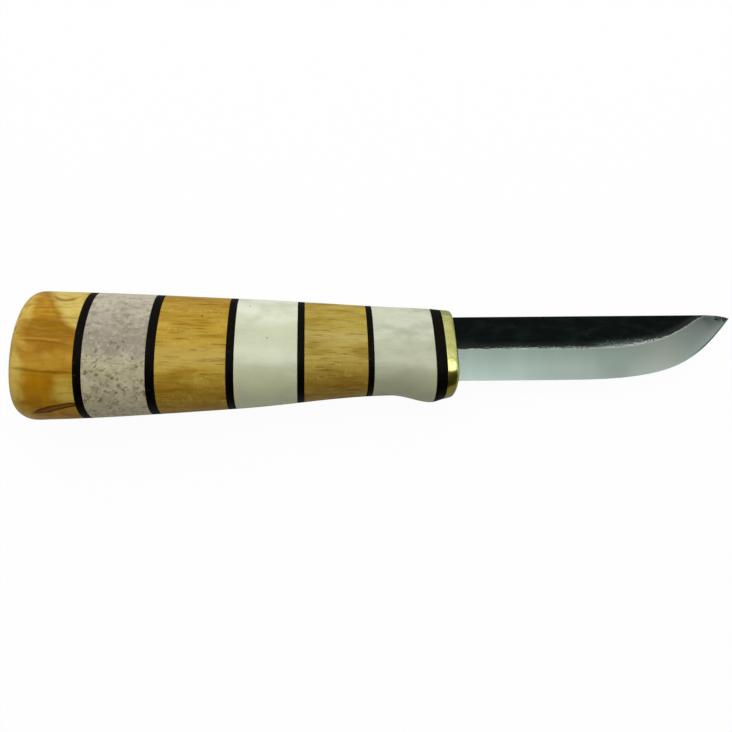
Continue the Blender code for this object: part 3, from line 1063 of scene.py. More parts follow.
@dataclass(frozen=True)
class PolishedBrass(Finish):
    """Cast brass filed to the handle and polished by hand.

    The eye sees greenish yellow metal, a little uneven from the file, with duller patches of tarnish. The
    deeper yellow below the highlight is a painted reflection, and the darker bottom is painted shade. The
    rubbing marks of fine grit are too fine to show here, so they are drawn a quarter of a millimetre wide.
    """

    name: str = "polished_brass"
    slot: str = "brass"
    bright: str = "#BEC17C"
    dull: str = "#A9A85E"
    # Painted reflection: the deeper yellow below the highlight
    painted_reflection_tint: str = "#B6AC34"
    # Painted shade: the darker colour low down
    low: str = "#6C6826"
    metallic: float = 1.0
    roughness: Ease = Ease(0.3, 0.7, 0.2, 0.32)
    file_relief: float = 0.25 * MM
    file_share: float = 0.6
    rub_relief: float = 0.02 * MM
    rub_share: float = 0.1
    tarnish: Grain = Grain(3.0, 3.0, 4.0)
    facets: Grain = Grain(2.0, 2.0, 1.0)
    rubbing: Grain = Grain(0.25, 5.0)
    dull_patches: Ease = Ease(0.35, 0.75)
    # Painted reflection below the highlight and painted shade low down, by the height above the handle's axis
    # in millimetres
    painted_reflection_zone: Ease = Ease(-8.0, -6.4, 0.75, 0.0)
    painted_shade_zone: Ease = Ease(-10.8, -8.8, 0.6, 0.0)

    def mix(self, recipe: Recipe, surface: bpy.types.Node) -> None:
        """Draws tarnish, a painted reflection, painted shade low down, file work and rubbing marks.

        Args:
            recipe: the material's nodes.
            surface: the shader that shows the finish.
        """
        tarnish = recipe.grain(self.tarnish)
        facets = recipe.grain(self.facets)
        rubbing = recipe.grain(self.rubbing)
        height = recipe.add(Node.AXES, recipe.place(), take="Y")
        metal = recipe.lay(linear(self.bright), self.dull, tarnish, self.dull_patches)
        # Painted reflection below the highlight, then painted shade low down
        metal = recipe.lay(metal, self.painted_reflection_tint, height, self.painted_reflection_zone)
        metal = recipe.lay(metal, self.low, height, self.painted_shade_zone)
        filed = recipe.add(Node.BUMP, Strength=self.file_share, Distance=self.file_relief, Height=facets)
        rubbed = recipe.add(
            Node.BUMP, Strength=self.rub_share, Distance=self.rub_relief, Height=rubbing, Normal=filed
        )
        recipe.feed(
            surface,
            Base_Color=metal,
            Roughness=recipe.add(Node.EASE, tarnish, *self.roughness),
            Normal=rubbed,
            Metallic=self.metallic,
        )


@dataclass(frozen=True)
class ForgedSteel(Finish):
    """Carbon steel as it left the forge, with ground bevels.

    The eye sees black scale above the grind line, rubbed bare in specks along it, and satin grey steel below.
    On the steel, lit and dimmed bands are painted reflection, the darker tip is painted shade, and a bright
    line just under the grind line is a painted highlight.
    The grinding marks are too fine to show here, so they are drawn a quarter of a millimetre wide.
    """

    name: str = "forged_ground_steel"
    slot: str = "blade_steel"
    steel: str = "#B8CBC0"
    shaded: str = "#B3C6BB"
    scale: str = "#050B09"
    worn: str = "#101A16"
    painted_tip_shade: str = "#7C8280"
    painted_glint: str = "#F2F8F0"
    dimmed: str = "#A4B0A7"
    lit: str = "#CCD6CA"
    gloss: float = 0.03
    relief: float = 0.02 * MM
    relief_share: float = 0.05
    # From bare steel to full scale
    roughness: Ease = Ease(0.0, 1.0, 0.34, 0.55)
    metallic: Ease = Ease(0.0, 1.0, 1.0, 0.0)
    # Patterns
    clouds: Grain = Grain(5.0, 2.0, 4.0)
    grinding: Grain = Grain(0.25, 9.0)
    ragged: Grain = Grain(0.8, 0.5, 3.0)
    specks: Grain = Grain(0.4, 0.3, 1.0)
    bands: Grain = Grain(7.0, 60.0)
    worn_clouds: Ease = Ease(0.4, 0.75)
    shaded_bands: Ease = Ease(0.35, 0.65)
    # The border of the scale by the height above the grind line in millimetres
    border: Ease = Ease(-0.16, 0.16)
    border_stray: Ease = Ease(0.3, 0.7, -0.1, 0.1)
    # Rubbed specks: where the belly is along the blade in millimetres, how high above the grind line they
    # reach off the belly and on it, how likely they are, and how bare they are
    belly_rise: Ease = Ease(34.0, 43.0)
    belly_fall: Ease = Ease(46.0, 57.0, 1.0, 0.0)
    rub_height: Ease = Ease(0.0, 1.0, 1.7, 3.6)
    rub_chance: Ease = Ease(0.0, 1.0, 0.3, 0.0)
    rub_by_tip: Ease = Ease(54.0, 61.0, 1.0, 0.2)
    rub_by_heel: Ease = Ease(4.0, 15.0, 0.35, 1.0)
    bare_specks: Ease = Ease(0.74, 0.94, 0.0, 0.45)
    bare_border: Ease = Ease(0.1, 0.9, 1.8, 1.0)
    smear_fall: Ease = Ease(0.2, 2.4, 1.0, 0.0)
    smear_share: Ease = Ease(0.0, 1.0, 0.035, 0.1)
    # The dark line along the cutting edge and the burnt blotch under the grind line, both near the tip
    edge_line_width: Ease = Ease(0.15, 0.7, 0.9, 0.0)
    edge_line_start: Ease = Ease(64.0, 69.0)
    burnt_height: Ease = Ease(-2.1, -0.8, 0.0, 0.95)
    burnt_start: Ease = Ease(71.0, 73.0)
    burnt_spots: Ease = Ease(0.32, 0.5)
    # Painted reflection, lit and dimmed bands of the bevel: the middle and the reach along the blade, and
    # the share over the edge
    edge_band: Span = (29.0, 21.0)
    edge_share: Ease = Ease(0.5, 4.0, 0.6, 0.0)
    dim_band: Span = (43.0, 7.0)
    dim_share: Ease = Ease(1.0, 6.5, 0.8, 0.0)
    lit_band: Span = (56.0, 11.0)
    lit_share: float = 0.9
    # Painted shade towards the tip, and a painted highlight along the grind line
    tip_shade_start: Ease = Ease(58.0, 76.0)
    tip_shade_height: Ease = Ease(0.0, 5.0, 0.2, 0.55)
    glint_height: Ease = Ease(-0.42, -0.16, 0.0, 0.5)
    glint_start: Ease = Ease(36.0, 50.0)

    def mix(self, recipe: Recipe, surface: bpy.types.Node) -> None:
        """Draws the scale down to the grind line, and the ground steel below it.

        Args:
            recipe: the material's nodes.
            surface: the shader that shows the finish.
        """
        height = recipe.add(Node.MARK, take="Fac", settings={"attribute_name": Blade.ABOVE_GRIND})
        edge = recipe.add(Node.MARK, take="Fac", settings={"attribute_name": Blade.ABOVE_EDGE})
        along = recipe.add(Node.AXES, recipe.place(), take="X")
        black = self.draw_scale(recipe, along, height, edge)
        ground = self.draw_ground(recipe, along, height, edge)
        crust = recipe.lay(linear(self.scale), self.worn, recipe.grain(self.clouds), self.worn_clouds)
        grinding = recipe.grain(self.grinding)
        recipe.feed(
            surface,
            Base_Color=recipe.add(Node.BLEND, black, ground, crust),
            Roughness=recipe.add(Node.EASE, black, *self.roughness),
            Metallic=recipe.add(Node.EASE, black, *self.metallic),
            Normal=recipe.add(Node.BUMP, Strength=self.relief_share, Distance=self.relief, Height=grinding),
            Specular_IOR_Level=self.gloss,
        )

    def draw_scale(self, recipe: Recipe, along: Socket, height: Socket, edge: Socket) -> Socket:
        """Finds where black scale covers the steel.

        Args:
            recipe: the material's nodes.
            along: the distance from the bolster in millimetres.
            height: the height above the grind line.
            edge: the height above the cutting edge.

        Returns:
            The share of black: the scale above the grind line apart from rubbed specks, and a dark line along
                the
            edge and a burnt blotch near the tip.
        """
        ragged = recipe.grain(self.ragged)
        line = recipe.add(Node.ADD, height, recipe.add(Node.EASE, ragged, *self.border_stray))
        black = recipe.add(Node.EASE, line, *self.border)
        bare = self.draw_rubbed(recipe, along, height)
        black = recipe.add(Node.MULTIPLY, black, recipe.add(Node.SUBTRACT, 1.0, bare))
        edge_line = recipe.add(Node.EASE, edge, *self.edge_line_width)
        edge_line = recipe.add(Node.MULTIPLY, edge_line, recipe.add(Node.EASE, along, *self.edge_line_start))
        burnt = recipe.add(Node.EASE, height, *self.burnt_height)
        burnt = recipe.add(Node.MULTIPLY, burnt, recipe.add(Node.EASE, along, *self.burnt_start))
        burnt = recipe.add(Node.MULTIPLY, burnt, recipe.add(Node.EASE, ragged, *self.burnt_spots))
        return recipe.add(Node.MAXIMUM, black, recipe.add(Node.MAXIMUM, edge_line, burnt))

    def draw_rubbed(self, recipe: Recipe, along: Socket, height: Socket) -> Socket:
        """Finds how bare the steel is where scale is rubbed off, mostly over the belly.

        Args:
            recipe: the material's nodes.
            along: the distance from the bolster in millimetres.
            height: the height above the grind line.

        Returns:
            The share of bare steel.
        """
        belly = recipe.add(Node.EASE, along, *self.belly_rise)
        belly = recipe.add(Node.MULTIPLY, belly, recipe.add(Node.EASE, along, *self.belly_fall))
        share = recipe.add(Node.DIVIDE, height, recipe.add(Node.EASE, belly, *self.rub_height))
        chance = recipe.add(Node.EASE, share, *self.rub_chance)
        for fade in (self.rub_by_tip, self.rub_by_heel):
            chance = recipe.add(Node.MULTIPLY, chance, recipe.add(Node.EASE, along, *fade))
        bare = recipe.add(Node.ADD, recipe.grain(self.specks), chance)
        bare = recipe.add(Node.EASE, bare, *self.bare_specks)
        bare = recipe.add(Node.MULTIPLY, bare, recipe.add(Node.EASE, height, *self.bare_border))
        smear = recipe.add(Node.EASE, height, *self.smear_fall)
        smear = recipe.add(Node.MULTIPLY, smear, recipe.add(Node.EASE, belly, *self.smear_share))
        return recipe.add(Node.MAXIMUM, bare, smear)

    def draw_ground(self, recipe: Recipe, along: Socket, height: Socket, edge: Socket) -> Socket:
        """Draws the ground steel, its bands and painted reflection, painted shade to the tip and a painted
        highlight.

        Args:
            recipe: the material's nodes.
            along: the distance from the bolster in millimetres.
            height: the height above the grind line.
            edge: the height above the cutting edge.

        Returns:
            The colour of the ground steel.
        """
        ground = recipe.lay(linear(self.steel), self.shaded, recipe.grain(self.bands), self.shaded_bands)
        # Painted reflection: dimmed bands towards the edge and a lit band towards the tip
        for (middle, reach), colour, share in (
            (self.edge_band, self.dimmed, recipe.add(Node.EASE, edge, *self.edge_share)),
            (self.dim_band, self.dimmed, recipe.add(Node.EASE, edge, *self.dim_share)),
            (self.lit_band, self.lit, self.lit_share),
        ):
            away = recipe.add(Node.ABSOLUTE, recipe.add(Node.SUBTRACT, along, middle))
            ground = recipe.lay(ground, colour, away, Ease(0.0, reach, 1.0, 0.0), share)
        # Painted shade: the steel darker towards the tip
        tip_shade = recipe.add(Node.EASE, edge, *self.tip_shade_height)
        ground = recipe.lay(ground, self.painted_tip_shade, along, self.tip_shade_start, tip_shade)
        # Painted highlight: a bright line just under the grind line
        ridge = recipe.add(Node.EASE, along, *self.glint_start)
        return recipe.lay(ground, self.painted_glint, height, self.glint_height, ridge)


@dataclass(frozen=True)
class SetEpoxy(Finish):
    """Two-part epoxy set in the slot: clear amber resin, faintly cloudy from the mixing."""

    name: str = "set_epoxy"
    slot: str = "epoxy"
    clear: str = "#C8B27A"
    cloudy: str = "#B49B5E"
    ior: float = 1.55
    roughness: Ease = Ease(0.3, 0.7, 0.2, 0.35)
    clouds: Grain = Grain(3.0, 3.0, 3.0)
    mixed: Ease = Ease(0.3, 0.7)

    def mix(self, recipe: Recipe, surface: bpy.types.Node) -> None:
        """Draws the clouds left by mixing.

        Args:
            recipe: the material's nodes.
            surface: the shader that shows the finish.
        """
        clouds = recipe.grain(self.clouds)
        recipe.feed(
            surface,
            Base_Color=recipe.lay(linear(self.clear), self.cloudy, clouds, self.mixed),
            Roughness=recipe.add(Node.EASE, clouds, *self.roughness),
            IOR=self.ior,
        )


@dataclass(frozen=True)
class PaintedTable(Finish):
    """A board painted matt white: it shows nearly white, and keeps the soft shadow of what lies on it."""

    name: str = "matt_white_paint"
    slot: str = ""
    paint: str = "#C4C4C2"
    brushed: str = "#C1C1BF"
    seen_paint: str = "#FFFFFF"
    gloss: float = 0.0
    roughness: float = 0.9
    brush: Grain = Grain(60.0, 4.0, 3.0)
    brush_marks: Ease = Ease(0.3, 0.7)
    # How white the board is to the eye by the distance from the knife in metres, and in a mirror
    whiteness: Ease = Ease(0.08, 0.4, 0.96, 1.0)
    mirrored_share: float = 0.15

    def mix(self, recipe: Recipe, surface: bpy.types.Node) -> None:
        """Draws brush marks, and makes the paint white to the eye, mostly far from the knife.

        Args:
            recipe: the material's nodes.
            surface: the shader that shows the finish.
        """
        paint = recipe.lay(linear(self.paint), self.brushed, recipe.grain(self.brush), self.brush_marks)
        seen = recipe.add(Node.RAY, take="Is Camera Ray")
        paint = recipe.add(Node.BLEND, seen, paint, linear(self.seen_paint))
        recipe.feed(surface, Base_Color=paint, Roughness=self.roughness, Specular_IOR_Level=self.gloss)
        away = recipe.add(Node.LENGTH, recipe.add(Node.PLACE, take="Object"), take="Value")
        white = recipe.add(Node.EASE, away, *self.whiteness)
        share = Studio.seen_rays(recipe, white, self.mirrored_share)
        shown = recipe.add(Node.CHOICE, share, surface.outputs["BSDF"], recipe.add(Node.GLOW, Strength=1.0))
        recipe.feed(recipe.tree.nodes["Material Output"], Surface=shown)


@dataclass(frozen=True)
class GreyFelt(Finish):
    """Felted dark grey wool on a board: it swallows most light, with a faint nap."""

    name: str = "dark_grey_felt"
    slot: str = ""
    wool: str = "#5A5A5A"
    nap: str = "#666666"
    gloss: float = 0.0
    roughness: float = 1.0
    tufts: Grain = Grain(2.0, 2.0, 3.0)

    def mix(self, recipe: Recipe, surface: bpy.types.Node) -> None:
        """Draws the nap."""
        wool = recipe.add(Node.BLEND, recipe.grain(self.tufts), linear(self.wool), linear(self.nap))
        recipe.feed(surface, Base_Color=wool, Roughness=self.roughness, Specular_IOR_Level=self.gloss)


def loft(rings: list[np.ndarray], is_closed: bool) -> bmesh.types.BMesh:
    """Joins rings of points into a solid.

    Args:
        rings: the rings in order, all with the same number of points.
        is_closed: whether the last ring joins the first; otherwise both ends get a flat face.

    Returns:
        A new mesh, whose vertices stand in the order of the rings.
    """
    solid = bmesh.new()
    rows = [[solid.verts.new(point) for point in ring] for ring in rings]
    ends = [rows[0]] if is_closed else []
    for row, after in zip(rows, rows[1:] + ends):
        for place in range(len(row)):
            beside = place - 1
            solid.faces.new((row[beside], row[place], after[place], after[beside]))
    if not is_closed:
        solid.faces.new(rows[0])
        solid.faces.new(rows[-1])
    bmesh.ops.recalc_face_normals(solid, faces=solid.faces)
    return solid


def place_piece(
    node: str, solid: bmesh.types.BMesh, finish: Finish, axes: KnifeAxes, crease: float
) -> bpy.types.Object:
    """Puts a finished piece in the place of its solid.

    Args:
        node: the solid's name.
        solid: the piece's mesh in the knife's axes, which is freed.
        finish: what the piece is made of.
        axes: the knife's axes.
        crease: the angle between faces above which an edge looks sharp.

    Returns:
        The piece.
    """
    mesh = bpy.data.meshes.new(node + "_finished")
    solid.to_mesh(mesh)
    solid.free()
    mesh.materials.append(finish.material())
    mesh.shade_smooth()
    mesh.set_sharp_from_angle(angle=crease)
    piece = bpy.data.objects.new(mesh.name, mesh)
    bpy.context.scene.collection.objects.link(piece)
    piece.matrix_world = axes.to_world
    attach(piece, BODY)
    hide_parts(node)
    return piece


@dataclass
class HandlePiece:
    """A block, a spacer or the bolster of the stacked handle.

    Args:
        node: its solid.
        finish: what it is made of.
        glued: the faces that lie against a neighbour.
        around: points in a ring.
        row: the distance between rings.
        rim: how far its glued edges are eased.
        glue_line: the gap between two solids, which the finished pieces close.
        hand_size: the width of a hollow left by sanding.
        hand_depth: its depth.
        crease: the angle above which an edge looks sharp.
    """

    node: Stack
    finish: Finish
    glued: Glued = Glued.BOTH
    around: int = 192
    row: float = 0.5 * MM
    rim: float = 0.12 * MM
    glue_line: float = 0.1 * MM
    hand_size: float = 7 * MM
    hand_depth: float = 0.03 * MM
    crease: float = math.radians(50)

    # Where the rings of an eased edge lie, as shares of its width
    RIM_STEPS = (0.0, 0.08, 0.3, 0.62)
    # The thinnest spacer still has this many rings between its eased edges
    FEWEST_ROWS = 3

    def build(self, skin: HandleSkin, axes: KnifeAxes) -> bpy.types.Object:
        """Makes the piece.

        Args:
            skin: the outside of the handle.
            axes: the knife's axes.

        Returns:
            The piece in its place.
        """
        angles = np.linspace(-math.pi, math.pi, self.around, endpoint=False)
        path, easing = self.rows(*skin.reach[self.node])
        rings = skin.rings(path, angles)
        outward = np.stack([np.zeros_like(angles), np.sin(angles), np.cos(angles)], axis=1)
        lift = hand_rise(rings.reshape(-1, 3), self.hand_size, self.hand_depth) - self.hand_depth
        lift = lift.reshape(rings.shape[:2]) - easing[:, None]
        rings = rings + lift[:, :, None] * outward
        rings = self.work(rings, outward)
        slot = [outline.ring(angles) for outline in skin.slots[self.node]]
        # The slot reaches both end faces, apart from its blind end in the butt
        for ring, end in zip(slot, (0, -1)):
            if self.glued is not Glued.FRONT or end == -1:
                ring[:, 0] = rings[end, :, 0]
        solid = loft(list(rings) + slot[::-1], is_closed=self.glued is not Glued.FRONT)
        piece = place_piece(self.node.value, solid, self.finish, axes, self.crease)
        self.mark(piece, len(rings))
        return piece

    def rows(self, start: float, stop: float) -> tuple[np.ndarray, np.ndarray]:
        """Spaces the rings along the piece.

        Args:
            start: where its solid starts on the handle's surface.
            stop: where it stops.

        Returns:
            The place of each ring and how far it is drawn in.
        """
        steps = self.rim * np.array(self.RIM_STEPS)
        rear, front = self.glued is not Glued.FRONT, self.glued is not Glued.REAR
        start -= self.glue_line / 2 * rear
        stop += self.glue_line / 2 * front
        inner, outer = start + self.rim * rear, stop - self.rim * front
        count = max(self.FEWEST_ROWS, round((outer - inner) / self.row))
        parts = [np.linspace(inner, outer, count)]
        if rear:
            parts.insert(0, start + steps)
        if front:
            parts.append(stop - steps[::-1])
        path = np.concatenate(parts)
        depth = np.full_like(path, self.rim)
        if rear:
            depth = np.minimum(depth, path - start)
        if front:
            depth = np.minimum(depth, stop - path)
        return path, self.rim - np.sqrt(np.maximum(self.rim ** 2 - (self.rim - depth) ** 2, 0.0))

    def work(self, rings: np.ndarray, outward: np.ndarray) -> np.ndarray:
        """Works the surface further; a plain piece stays as it is."""
        return rings

    def mark(self, piece: bpy.types.Object, rows: int) -> None:
        """Writes what the finish needs on the mesh; a plain piece needs nothing."""


@dataclass
class PorousBlock(HandlePiece):
    """The grey antler block, whose pores are open pits.

    Args:
        pores: how many places are tried for a pore.
        pore_sizes: the smallest and the largest radius of a pit.
        pore_depth: the depth of a pit.
        pore_pits: the fewest pits that make one pore, and one more than the most.
        pit_least: the least share of its radius that a pit reaches in any direction.
        pit_spread: how much more than that it may reach.
        smooth_share: how fast the pores get rarer towards the spine, where the antler is denser.
        seed: picks the places of the pores.
        depth: how deep each point of the surface lies in a pit, found while the block is worked.
    """

    around: int = 400
    row: float = 0.22 * MM
    pores: int = 300
    pore_sizes: Span = (0.2 * MM, 0.46 * MM)
    pore_depth: float = 0.08 * MM
    pore_pits: tuple[int, int] = (2, 6)
    pit_least: float = 0.6
    pit_spread: float = 0.8
    smooth_share: float = 1.6
    seed: int = 7
    depth: np.ndarray = field(init=False)

    PORE_DEPTH = "pore_depth"
    SPONGINESS = "sponginess"

    def work(self, rings: np.ndarray, outward: np.ndarray) -> np.ndarray:
        """Presses the pits into the surface, more of them on the side of the cutting edge.

        Args:
            rings: the points of the surface.
            outward: the outward direction of each point of a ring.

        Returns:
            The pitted surface.
        """
        random = np.random.default_rng(self.seed)
        points = rings.reshape(-1, 3)
        self.depth = np.zeros(len(points))
        lowest, highest = points[:, 1].min(), points[:, 1].max()
        smallest, largest = self.pore_sizes
        for _ in range(self.pores):
            middle = points[random.integers(len(points))]
            share = (middle[1] - lowest) / (highest - lowest)
            # Small pores are the most common
            size = smallest + (largest - smallest) * random.random() ** 2
            if random.random() < self.smooth_share * share:
                continue
            for _ in range(random.integers(*self.pore_pits)):
                shape = size * (self.pit_least + self.pit_spread * random.random(3))
                away = (points - middle) / shape
                self.depth = np.maximum(self.depth, np.clip(1 - (away ** 2).sum(axis=1), 0, 1))
                middle = middle + shape * random.uniform(-1, 1, 3)
        self.depth = self.depth.reshape(rings.shape[:2])
        return rings - self.depth[:, :, None] * self.pore_depth * outward

    def mark(self, piece: bpy.types.Object, rows: int) -> None:
        """Writes the depth of the pits on the mesh, and how spongy the antler is down from the spine.

        Args:
            piece: the block.
            rows: how many rings of its mesh are its outside.
        """
        depth = np.zeros(len(piece.data.vertices))
        depth[:rows * self.around] = self.depth.ravel()
        heights = np.array([vertex.co.y for vertex in piece.data.vertices])
        spongy = (heights.max() - heights) / np.ptp(heights)
        for name, values in ((self.PORE_DEPTH, depth), (self.SPONGINESS, spongy)):
            piece.data.attributes.new(name, "FLOAT", "POINT").data.foreach_set("value", values)


@dataclass
class Handle:
    """The stacked handle with its bolster, and the epoxy that fills the slot round the tang.

    Args:
        birch: the finish of the middle birch block.
        front_birch: the finish of the front birch block.
        curly: the finish of the butt block.
        white: the finish of the middle antler block.
        front_white: the finish of the front antler block.
        grey: the finish of the porous antler block.
        leather: the finish of the spacers.
        brass: the finish of the bolster.
        epoxy: the finish of the set epoxy.
        fine_row: the distance between the rings of a piece that curves strongly.
        polished_depth: the depth of the hollows that are left on the bolster.
    """

    birch: OiledBirch = OiledBirch()
    front_birch: OiledBirch = OiledBirch(
        "oiled_front_birch",
        pale="#B8A248",
        deep="#9C822C",
        pale_grain_and_lit_band="#C6B468",
        dark_fibres=Ease(0.48, 0.74, 0.0, 0.42),
        ticked_patches=Ease(0.4, 0.58, 0.3, 0.0),
        painted_band_level=1.5,
        darker_bottom=Ease(-8.0, -3.0, 0.5, 0.0),
        spine_shade=Ease(4.5, 11.0, 0.0, 0.0),
    )
    curly: CurlyBirch = CurlyBirch()
    white: PolishedAntler = PolishedAntler()
    front_white: PolishedAntler = PolishedAntler(
        "buffed_front_antler",
        pale="#C1C5A7",
        grey="#AEB194",
        lit_top="#D4D8C0",
        foot="#B9BA90",
        gloss=0.38,
        roughness=Ease(0.3, 0.7, 0.31, 0.43),
        lit_top_rise=Ease(0.5, 5.0, 0.0, 0.85),
        foot_fall=Ease(-11.0, -4.0, 0.7, 0.0),
    )
    grey: PorousAntler = PorousAntler()
    leather: PressedLeather = PressedLeather()
    brass: PolishedBrass = PolishedBrass()
    epoxy: SetEpoxy = SetEpoxy()
    fine_row: float = 0.25 * MM
    polished_depth: float = 0.01 * MM

    EPOXY_NODE = "tang_epoxy"

    def pieces(self) -> list[HandlePiece]:
        """Lists the pieces.

        Returns:
            The pieces from the butt to the bolster.
        """
        return [
            HandlePiece(Stack.BUTT, self.curly, Glued.FRONT, row=self.fine_row),
            HandlePiece(Stack.BUTT_SPACER, self.leather),
            PorousBlock(Stack.GREY_ANTLER, self.grey),
            HandlePiece(Stack.GREY_SPACER, self.leather),
            HandlePiece(Stack.MIDDLE_BIRCH, self.birch),
            HandlePiece(Stack.MIDDLE_SPACER, self.leather),
            HandlePiece(Stack.MIDDLE_ANTLER, self.white),
            HandlePiece(Stack.ANTLER_SPACER, self.leather),
            HandlePiece(Stack.FRONT_BIRCH, self.front_birch),
            HandlePiece(Stack.FRONT_SPACER, self.leather),
            HandlePiece(Stack.FRONT_ANTLER, self.front_white),
            HandlePiece(Stack.BOLSTER_SPACER, self.leather),
            HandlePiece(
                Stack.BOLSTER, self.brass, Glued.REAR, row=self.fine_row, hand_depth=self.polished_depth
            ),
        ]

    def build(self, axes: KnifeAxes) -> None:
        """Makes every piece.

        Args:
            axes: the knife's axes.
        """
        skin = HandleSkin(axes)
        for piece in self.pieces():
            made = piece.build(skin, axes)
            LOG.info("%s: %d points of %s", made.name, len(made.data.vertices), piece.finish.name)

    def dress(self) -> None:
        """Gives the hidden epoxy its finish; its solid stays as it is."""
        resin = frame["nodes"][self.EPOXY_NODE]
        resin.material_slots[0].material = self.epoxy.material()
        LOG.info("%s: kept, of %s", resin.name, self.epoxy.name)


@dataclass
class Blade:
    """The forged blade with its ground bevels and its tang.

    Args:
        finish: what it is made of.
        station: the distance between two lines across the blade.
        bevel_rows: lines along a bevel.
        flat_rows: lines along a flat.
        hollow: how far a bevel is hollowed by the wheel.
        wander: how far the grind line strays.
        wander_size: the length of one stray.
        hammer_depth: the depth of the forged hollows on the flats.
        hammer_size: their width.
        crease: the angle above which an edge looks sharp.
        tang_root: the corners of the tang where it leaves the heel.
        tang_end: the corners of its blind end.
        edge: the cutting edge of the near face, from the heel to the tip.
        ridge: the grind line.
        shoulder: where the flat ends at the chamfer of the spine.
        top: the spine.
        meet: the corner of the solid where the bevel meets the spine.
        flat_end: the point of the fine lines where the flat ends.
    """

    finish: ForgedSteel = ForgedSteel()
    station: float = 0.4 * MM
    bevel_rows: int = 15
    flat_rows: int = 24
    hollow: float = 0.08 * MM
    wander: float = 0.08 * MM
    wander_size: float = 4 * MM
    hammer_depth: float = 0.04 * MM
    hammer_size: float = 3.5 * MM
    crease: float = math.radians(8)
    # What build() reads from the solid
    tang_root: np.ndarray = field(init=False)
    tang_end: np.ndarray = field(init=False)
    edge: np.ndarray = field(init=False)
    ridge: np.ndarray = field(init=False)
    shoulder: np.ndarray = field(init=False)
    top: np.ndarray = field(init=False)
    meet: int = field(init=False)
    flat_end: int = field(init=False)

    NODE = "blade"
    ABOVE_GRIND = "above_grind"
    ABOVE_EDGE = "above_edge"
    # A bevel leans out of the blade's plane between these shares of upright
    BEVEL_LEAN = (0.8, 0.995)
    # Corners of a bevel nearer to the middle plane than this lie on the cutting edge
    EDGE_ZONE = 0.1 * MM
    # These turn a point of the near face into itself, and into the same point of the far face
    NEAR = (1.0, 1.0, 1.0)
    FAR = (1.0, 1.0, -1.0)

    def build(self, axes: KnifeAxes) -> bpy.types.Object:
        """Makes the blade.

        Args:
            axes: the knife's axes.

        Returns:
            The blade in its place.
        """
        self.read_lines(axes)
        solid = bmesh.new()
        for face in (self.NEAR, self.FAR):
            for strip in self.strips():
                self.weave(solid, strip * face)
        self.weave(solid, np.stack([self.edge, self.edge * self.FAR]))
        self.weave(solid, np.stack([self.top, self.top * self.FAR]))
        self.add_tang(solid)
        bmesh.ops.remove_doubles(solid, verts=solid.verts, dist=WELD)
        bmesh.ops.dissolve_degenerate(solid, edges=solid.edges, dist=WELD)
        self.close_heel(solid)
        bmesh.ops.recalc_face_normals(solid, faces=solid.faces)
        piece = place_piece(self.NODE, solid, self.finish, axes, self.crease)
        corners = np.array([vertex.co for vertex in piece.data.vertices])
        for name, line in ((self.ABOVE_GRIND, self.ridge), (self.ABOVE_EDGE, self.edge)):
            above = corners[:, 1] - np.interp(corners[:, 0], line[:, 0], line[:, 1])
            piece.data.attributes.new(name, "FLOAT", "POINT").data.foreach_set("value", above / MM)
        return piece

    def read_lines(self, axes: KnifeAxes) -> None:
        """Reads the edge, the grind line and the spine of the near face from the solid.

        Args:
            axes: the knife's axes.
        """
        lines = axes.outlines(self.NODE)
        self.tang_end, heel, self.tang_root = next(lines), next(lines), next(lines)
        edge, ridge = self.read_bevel(axes, heel)
        is_flat = np.isclose(heel[:, 2], heel[:, 2].max(), atol=WELD)
        shoulder = heel[is_flat, 1].max()
        chamfer = heel[:, 1].max() - shoulder
        thick = ridge[:, 2].max()
        self.meet = int(np.flatnonzero(ridge[:, 2] > thick - WELD)[-1])
        knots = np.concatenate([[0.0], np.cumsum(np.linalg.norm(np.diff(edge, axis=0), axis=1))])
        self.edge = self.refine(knots, edge)
        self.ridge = self.refine(knots, ridge)
        self.flat_end = int(np.flatnonzero(self.ridge[:, 2] > thick - WELD)[-1])
        # The grind line strays within the bevel's own plane, and not where it has reached the spine
        stray = hand_rise(self.ridge, self.wander_size, self.wander)
        stray[self.flat_end:] = 0.0
        down = self.edge - self.ridge
        down /= np.maximum(np.linalg.norm(down, axis=1, keepdims=True), WELD)
        self.ridge[:, :2] += down[:, :2] * stray[:, None]
        # The flat ends at a straight line under the spine, which meets the grind line near the tip
        self.shoulder = self.ridge.copy()
        ends = self.shoulder[[0, self.flat_end], 0]
        heights = (shoulder, self.shoulder[self.flat_end, 1])
        flat = slice(0, self.flat_end)
        self.shoulder[flat, 1] = np.interp(self.shoulder[flat, 0], ends, heights)
        # The chamfer of the spine gets smaller as the blade gets thinner
        land = edge[-1, 2]
        slope = (self.shoulder[:, 2] - land) / (thick - land) * chamfer
        self.top = self.shoulder + np.stack([np.zeros_like(slope), slope, -slope], axis=1)

    def read_bevel(self, axes: KnifeAxes, heel: np.ndarray) -> tuple[np.ndarray, np.ndarray]:
        """Reads the two long sides of the near bevel from the solid.

        Args:
            axes: the knife's axes.
            heel: the corners of the heel.

        Returns:
            The corners of the cutting edge and those of the grind line, both from the heel to the tip.
        """
        copy = axes.solid(self.NODE)
        low, high = self.BEVEL_LEAN
        front = heel[:, 0].min() - WELD
        bevel = [face for face in copy.faces if low < face.normal.z < high]
        bevel = [face for face in bevel if all(vertex.co.x > front for vertex in face.verts)]
        corners = sorted({tuple(vertex.co) for face in bevel for vertex in face.verts})
        copy.free()
        edge = np.array([corner for corner in corners if corner[2] < self.EDGE_ZONE])
        ridge = np.array([corner for corner in corners if corner[2] >= self.EDGE_ZONE])
        return edge, np.concatenate([ridge, edge[-1:]])

